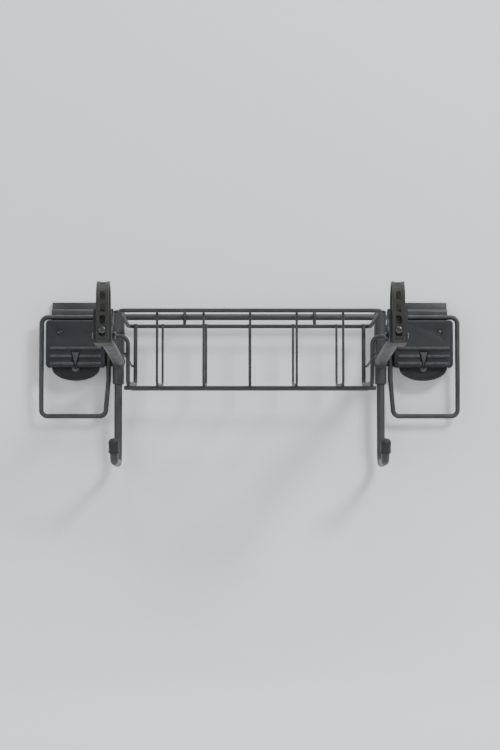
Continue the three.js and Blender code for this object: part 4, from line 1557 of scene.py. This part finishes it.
class RACK_OT_locks(bpy.types.Operator):
    """Make the two turning locks, with their bars and screws"""

    bl_idname = "rack.locks"
    bl_label = "Turning locks"

    def execute(self, context):
        pair("lock_flange", lock_flange, "lock_plastic", "lock_{side}", ("cam",))
        pair("lock_bar", lock_bar, "black_zinc", "lock_{side}", ("cam_dog",))
        pair("lock_fixing", lock_screw, "black_zinc", "lock_{side}", ("cam_screw",))
        return {"FINISHED"}


class RACK_OT_steelwork(bpy.types.Operator):
    """Make the loops, uprights, arms, top rail, storage hooks and their welds"""

    bl_idname = "rack.steelwork"
    bl_label = "Steelwork"

    def execute(self, context):
        pair("bracing_loop", bracing_loop, "rack_steel", "rack_frame", ("loop_frame",))
        pair("upright_tube", upright_tube, "rack_steel", "rack_frame", ("upright",))
        pair("end_plug", end_plug, "lock_plastic", "rack_frame", ("upright_cap",))
        pair("arm_tube", arm_tube, "rack_steel", "rack_frame", ("arm",))
        pair("storage_hook", storage_hook, "rack_steel", "rack_frame", ("hook",))
        pair("hook_cap", hook_cap, "tip_vinyl", "rack_frame", ("hook_tip",))
        pair("frame_welds", frame_welds, "rack_steel", "rack_frame")
        add_piece(top_rail("top_rail"), "rack_steel", "rack_frame", ("cross_rail",))
        return {"FINISHED"}


class RACK_OT_cradles(bpy.types.Operator):
    """Make the two cradles, with their pads, pins, studs, screws and nuts"""

    bl_idname = "rack.cradles"
    bl_label = "Cradles"

    def execute(self, context):
        pair("cradle_body", cradle_body, "cradle_plastic", "rack_frame", ("cradle",))
        pair("seat_pad", cradle_pad, "pad_rubber", "rack_frame", ("cradle_pad",))
        pair("cross_screw", cradle_screw, "black_zinc", "rack_frame", ("cradle_screw",))
        pair("cross_nut", cradle_nut, "black_zinc", "rack_frame", ("cradle_nut",))
        pair("hinge_pin", hinge_pin, "black_zinc", "rack_frame", ("strap_pin",))
        pair("button_stud", strap_stud, "black_zinc", "rack_frame", ("strap_stud",))
        return {"FINISHED"}


class RACK_OT_straps(bpy.types.Operator):
    """Make the two rubber ladder straps, each bent over its seat and left unparented"""

    bl_idname = "rack.straps"
    bl_label = "Straps"

    def execute(self, context):
        pair("ladder_strap", ladder_strap, "strap_rubber", "", ("strap_band", "strap_tail"))
        for side, hand in SIDES.items():
            strap = bpy.data.objects[f"ladder_strap_{side}"]
            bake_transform(strap)
        return {"FINISHED"}


class RACK_OT_basket(bpy.types.Operator):
    """Make the wire basket"""

    bl_idname = "rack.basket"
    bl_label = "Basket"

    def execute(self, context):
        add_piece(basket_rim(), "basket_wire", "basket", ("basket_rim",))
        add_piece(floor_wires(), "basket_wire", "basket", [f"basket_wire_{i + 1}" for i in range(WIRE_COUNT)])
        pair("end_frame", end_frame, "basket_wire", "basket", ("basket_end",))
        pair("side_wire", side_wire, "basket_wire", "basket", ("basket_side_wire",))
        pair("rail_hook", rail_hook, "basket_wire", "basket", ("basket_hook",))
        for node in ("basket_rail_back", "basket_rail_front"):
            add_piece(floor_rail(f"floor_{node}", node), "basket_wire", "basket", (node,))
        add_piece(crossing_welds(), "basket_wire", "basket")
        return {"FINISHED"}


def aim(obj, place, target):
    obj.location = place
    obj.rotation_euler = (Vector(target) - Vector(place)).to_track_quat("-Z", "Y").to_euler()
    bpy.context.collection.objects.link(obj)


def area_light(name, place, size, power, colour, target):
    data = bpy.data.lights.new(name, "AREA")
    data.shape = "RECTANGLE"
    data.size, data.size_y = size
    data.energy = power
    data.color = colour
    aim(bpy.data.objects.new(name, data), place, target)


def stage_material():
    """Pale matte backdrop, clear from behind and to the light that stands there."""
    material = bpy.data.materials.new("pale_backdrop")
    material.use_nodes = True
    tree = material.node_tree
    tree.nodes.clear()
    output = tree.nodes.new("ShaderNodeOutputMaterial")
    front = tree.nodes.new("ShaderNodeBsdfDiffuse")
    front.inputs["Color"].default_value = (*bpy.context.scene.rack_finish.backdrop, 1)
    clear = tree.nodes.new("ShaderNodeBsdfTransparent")
    choose = tree.nodes.new("ShaderNodeMixShader")
    side = tree.nodes.new("ShaderNodeNewGeometry")
    ray = tree.nodes.new("ShaderNodeLightPath")
    unseen = math_node(tree, "MAXIMUM", side.outputs["Backfacing"], ray.outputs["Is Shadow Ray"])
    link_all(
        tree,
        (unseen, choose.inputs[0]),
        (front.outputs[0], choose.inputs[1]),
        (clear.outputs[0], choose.inputs[2]),
        (choose.outputs[0], output.inputs["Surface"]),
    )
    return material


def backdrop(lo, hi):
    """A floor that curves up into a wall just behind the rack."""
    floor, wall = lo[2] - 0.25, hi[1] + 0.001
    bend, half_width, top, reach = 0.3, 5, 4.0, 6
    profile = [(-reach, floor), (wall - bend, floor)]
    profile += arc(wall - bend, floor + bend, bend, -90, 0, 12)[1:]
    profile.append((wall, top))
    bm = bmesh.new()
    lines = [[bm.verts.new((x, y, z)) for y, z in profile] for x in (-half_width, half_width)]
    for i in range(len(profile) - 1):
        bm.faces.new((lines[0][i], lines[1][i], lines[1][i + 1], lines[0][i + 1]))
    mesh = bpy.data.meshes.new("backdrop")
    bm.to_mesh(mesh)
    bm.free()
    mesh.shade_smooth()
    mesh.materials.append(stage_material())
    return loose_object("backdrop", mesh)


class RACK_OT_stage(bpy.types.Operator):
    """Make the backdrop, the soft lights and the camera"""

    bl_idname = "rack.stage"
    bl_label = "Stage, lights and camera"

    def execute(self, context):
        lo, hi = CAD_BOX
        centre = (Vector(lo) + Vector(hi)) / 2
        backdrop(lo, hi)
        world = bpy.data.worlds.new("soft_room")
        world.use_nodes = True
        sky = world.node_tree.nodes["Background"]
        sky.inputs["Color"].default_value = ROOM_COLOUR
        sky.inputs["Strength"].default_value = ROOM_STRENGTH
        context.scene.world = world
        for light in LIGHTS:
            area_light(*light, centre)
        sizes = context.scene.rack_sizes
        data = bpy.data.cameras.new("front_camera")
        data.lens = sizes.lens
        camera = bpy.data.objects.new("front_camera", data)
        aim(camera, sizes.eye, centre)
        context.scene.camera = camera
        return {"FINISHED"}


def tint_property(label, description, default):
    limits = {"subtype": "COLOR", "size": 3, "min": 0, "max": 1}
    return FloatVectorProperty(name=label, description=description, default=default, **limits)


def length_property(label, description, default):
    least = 0.2 * MM
    return FloatProperty(name=label, description=description, default=default, unit="LENGTH", min=least)


class RackSizes(bpy.types.PropertyGroup):
    """Sizes that a user may change"""

    bead: length_property("Weld bead", "Radius of the frame's weld beads", 1.15 * MM)
    bead_ripple: length_property("Weld ripple", "Distance between ripples of a weld", 1.5 * MM)
    lens: FloatProperty(
        name="Lens",
        description="Focal length of the camera in millimetres",
        default=108,
        min=10,
    )
    eye: FloatVectorProperty(
        name="Camera place",
        description="Where the camera stands",
        default=(-0.010, -2.81, -0.289),
        subtype="TRANSLATION",
        unit="LENGTH",
    )


class RackFinish(bpy.types.PropertyGroup):
    """Colours of the finishes"""

    steel: tint_property("Frame", "Powder coat of the steel frame", (0.040, 0.0435, 0.0455))
    wire: tint_property("Basket", "Coating of the basket's wires", (0.030, 0.033, 0.035))
    cover: tint_property("Covers", "Plastic of the covers", (0.0155, 0.0188, 0.0228))
    lock: tint_property("Locks", "Plastic of the turning locks and tube plugs", (0.0145, 0.0165, 0.0175))
    cradle: tint_property("Cradles", "Plastic of the cradles", (0.0165, 0.0182, 0.0188))
    pad: tint_property("Pads", "Rubber of the seat pads", (0.013, 0.0137, 0.014))
    tip: tint_property("Tips", "Vinyl of the hook tips", (0.012, 0.0127, 0.0133))
    strap: tint_property("Straps", "Rubber of the straps", (0.025, 0.026, 0.0215))
    zinc: tint_property("Fasteners", "Black plating of screws, pins and studs", (0.075, 0.075, 0.08))
    dust: tint_property("Dust", "Colour of settled dust", (0.3, 0.29, 0.27))
    backdrop: tint_property("Backdrop", "Colour of the floor and backdrop", (0.76, 0.775, 0.79))


class RACK_PT_panel(bpy.types.Panel):
    """Lists the rack's operators and settings"""

    bl_idname = "RACK_PT_panel"
    bl_label = "Bicycle Wall Rack"
    bl_space_type = "VIEW_3D"
    bl_region_type = "UI"
    bl_category = "Wall Rack"

    def draw(self, context):
        column = self.layout.column(align=True)
        for operator in STEPS:
            column.operator(operator.bl_idname)
        for group in (context.scene.rack_sizes, context.scene.rack_finish):
            box = self.layout.box()
            for name in group.bl_rna.properties.keys():
                if name not in ("rna_type", "name"):
                    box.prop(group, name)


STEPS = (
    RACK_OT_finishes,
    RACK_OT_stage,
    RACK_OT_plates,
    RACK_OT_covers,
    RACK_OT_locks,
    RACK_OT_steelwork,
    RACK_OT_cradles,
    RACK_OT_straps,
    RACK_OT_basket,
)
CLASSES = (RackSizes, RackFinish, *STEPS, RACK_PT_panel)


def register():
    for cls in CLASSES:
        bpy.utils.register_class(cls)
    bpy.types.Scene.rack_sizes = PointerProperty(type=RackSizes)
    bpy.types.Scene.rack_finish = PointerProperty(type=RackFinish)


def unregister():
    del bpy.types.Scene.rack_finish
    del bpy.types.Scene.rack_sizes
    for cls in reversed(CLASSES):
        bpy.utils.unregister_class(cls)


def main():
    register()
    for step in STEPS:
        group, name = step.bl_idname.split(".")
        getattr(getattr(bpy.ops, group), name)()


if __name__ == "__main__":
    main()
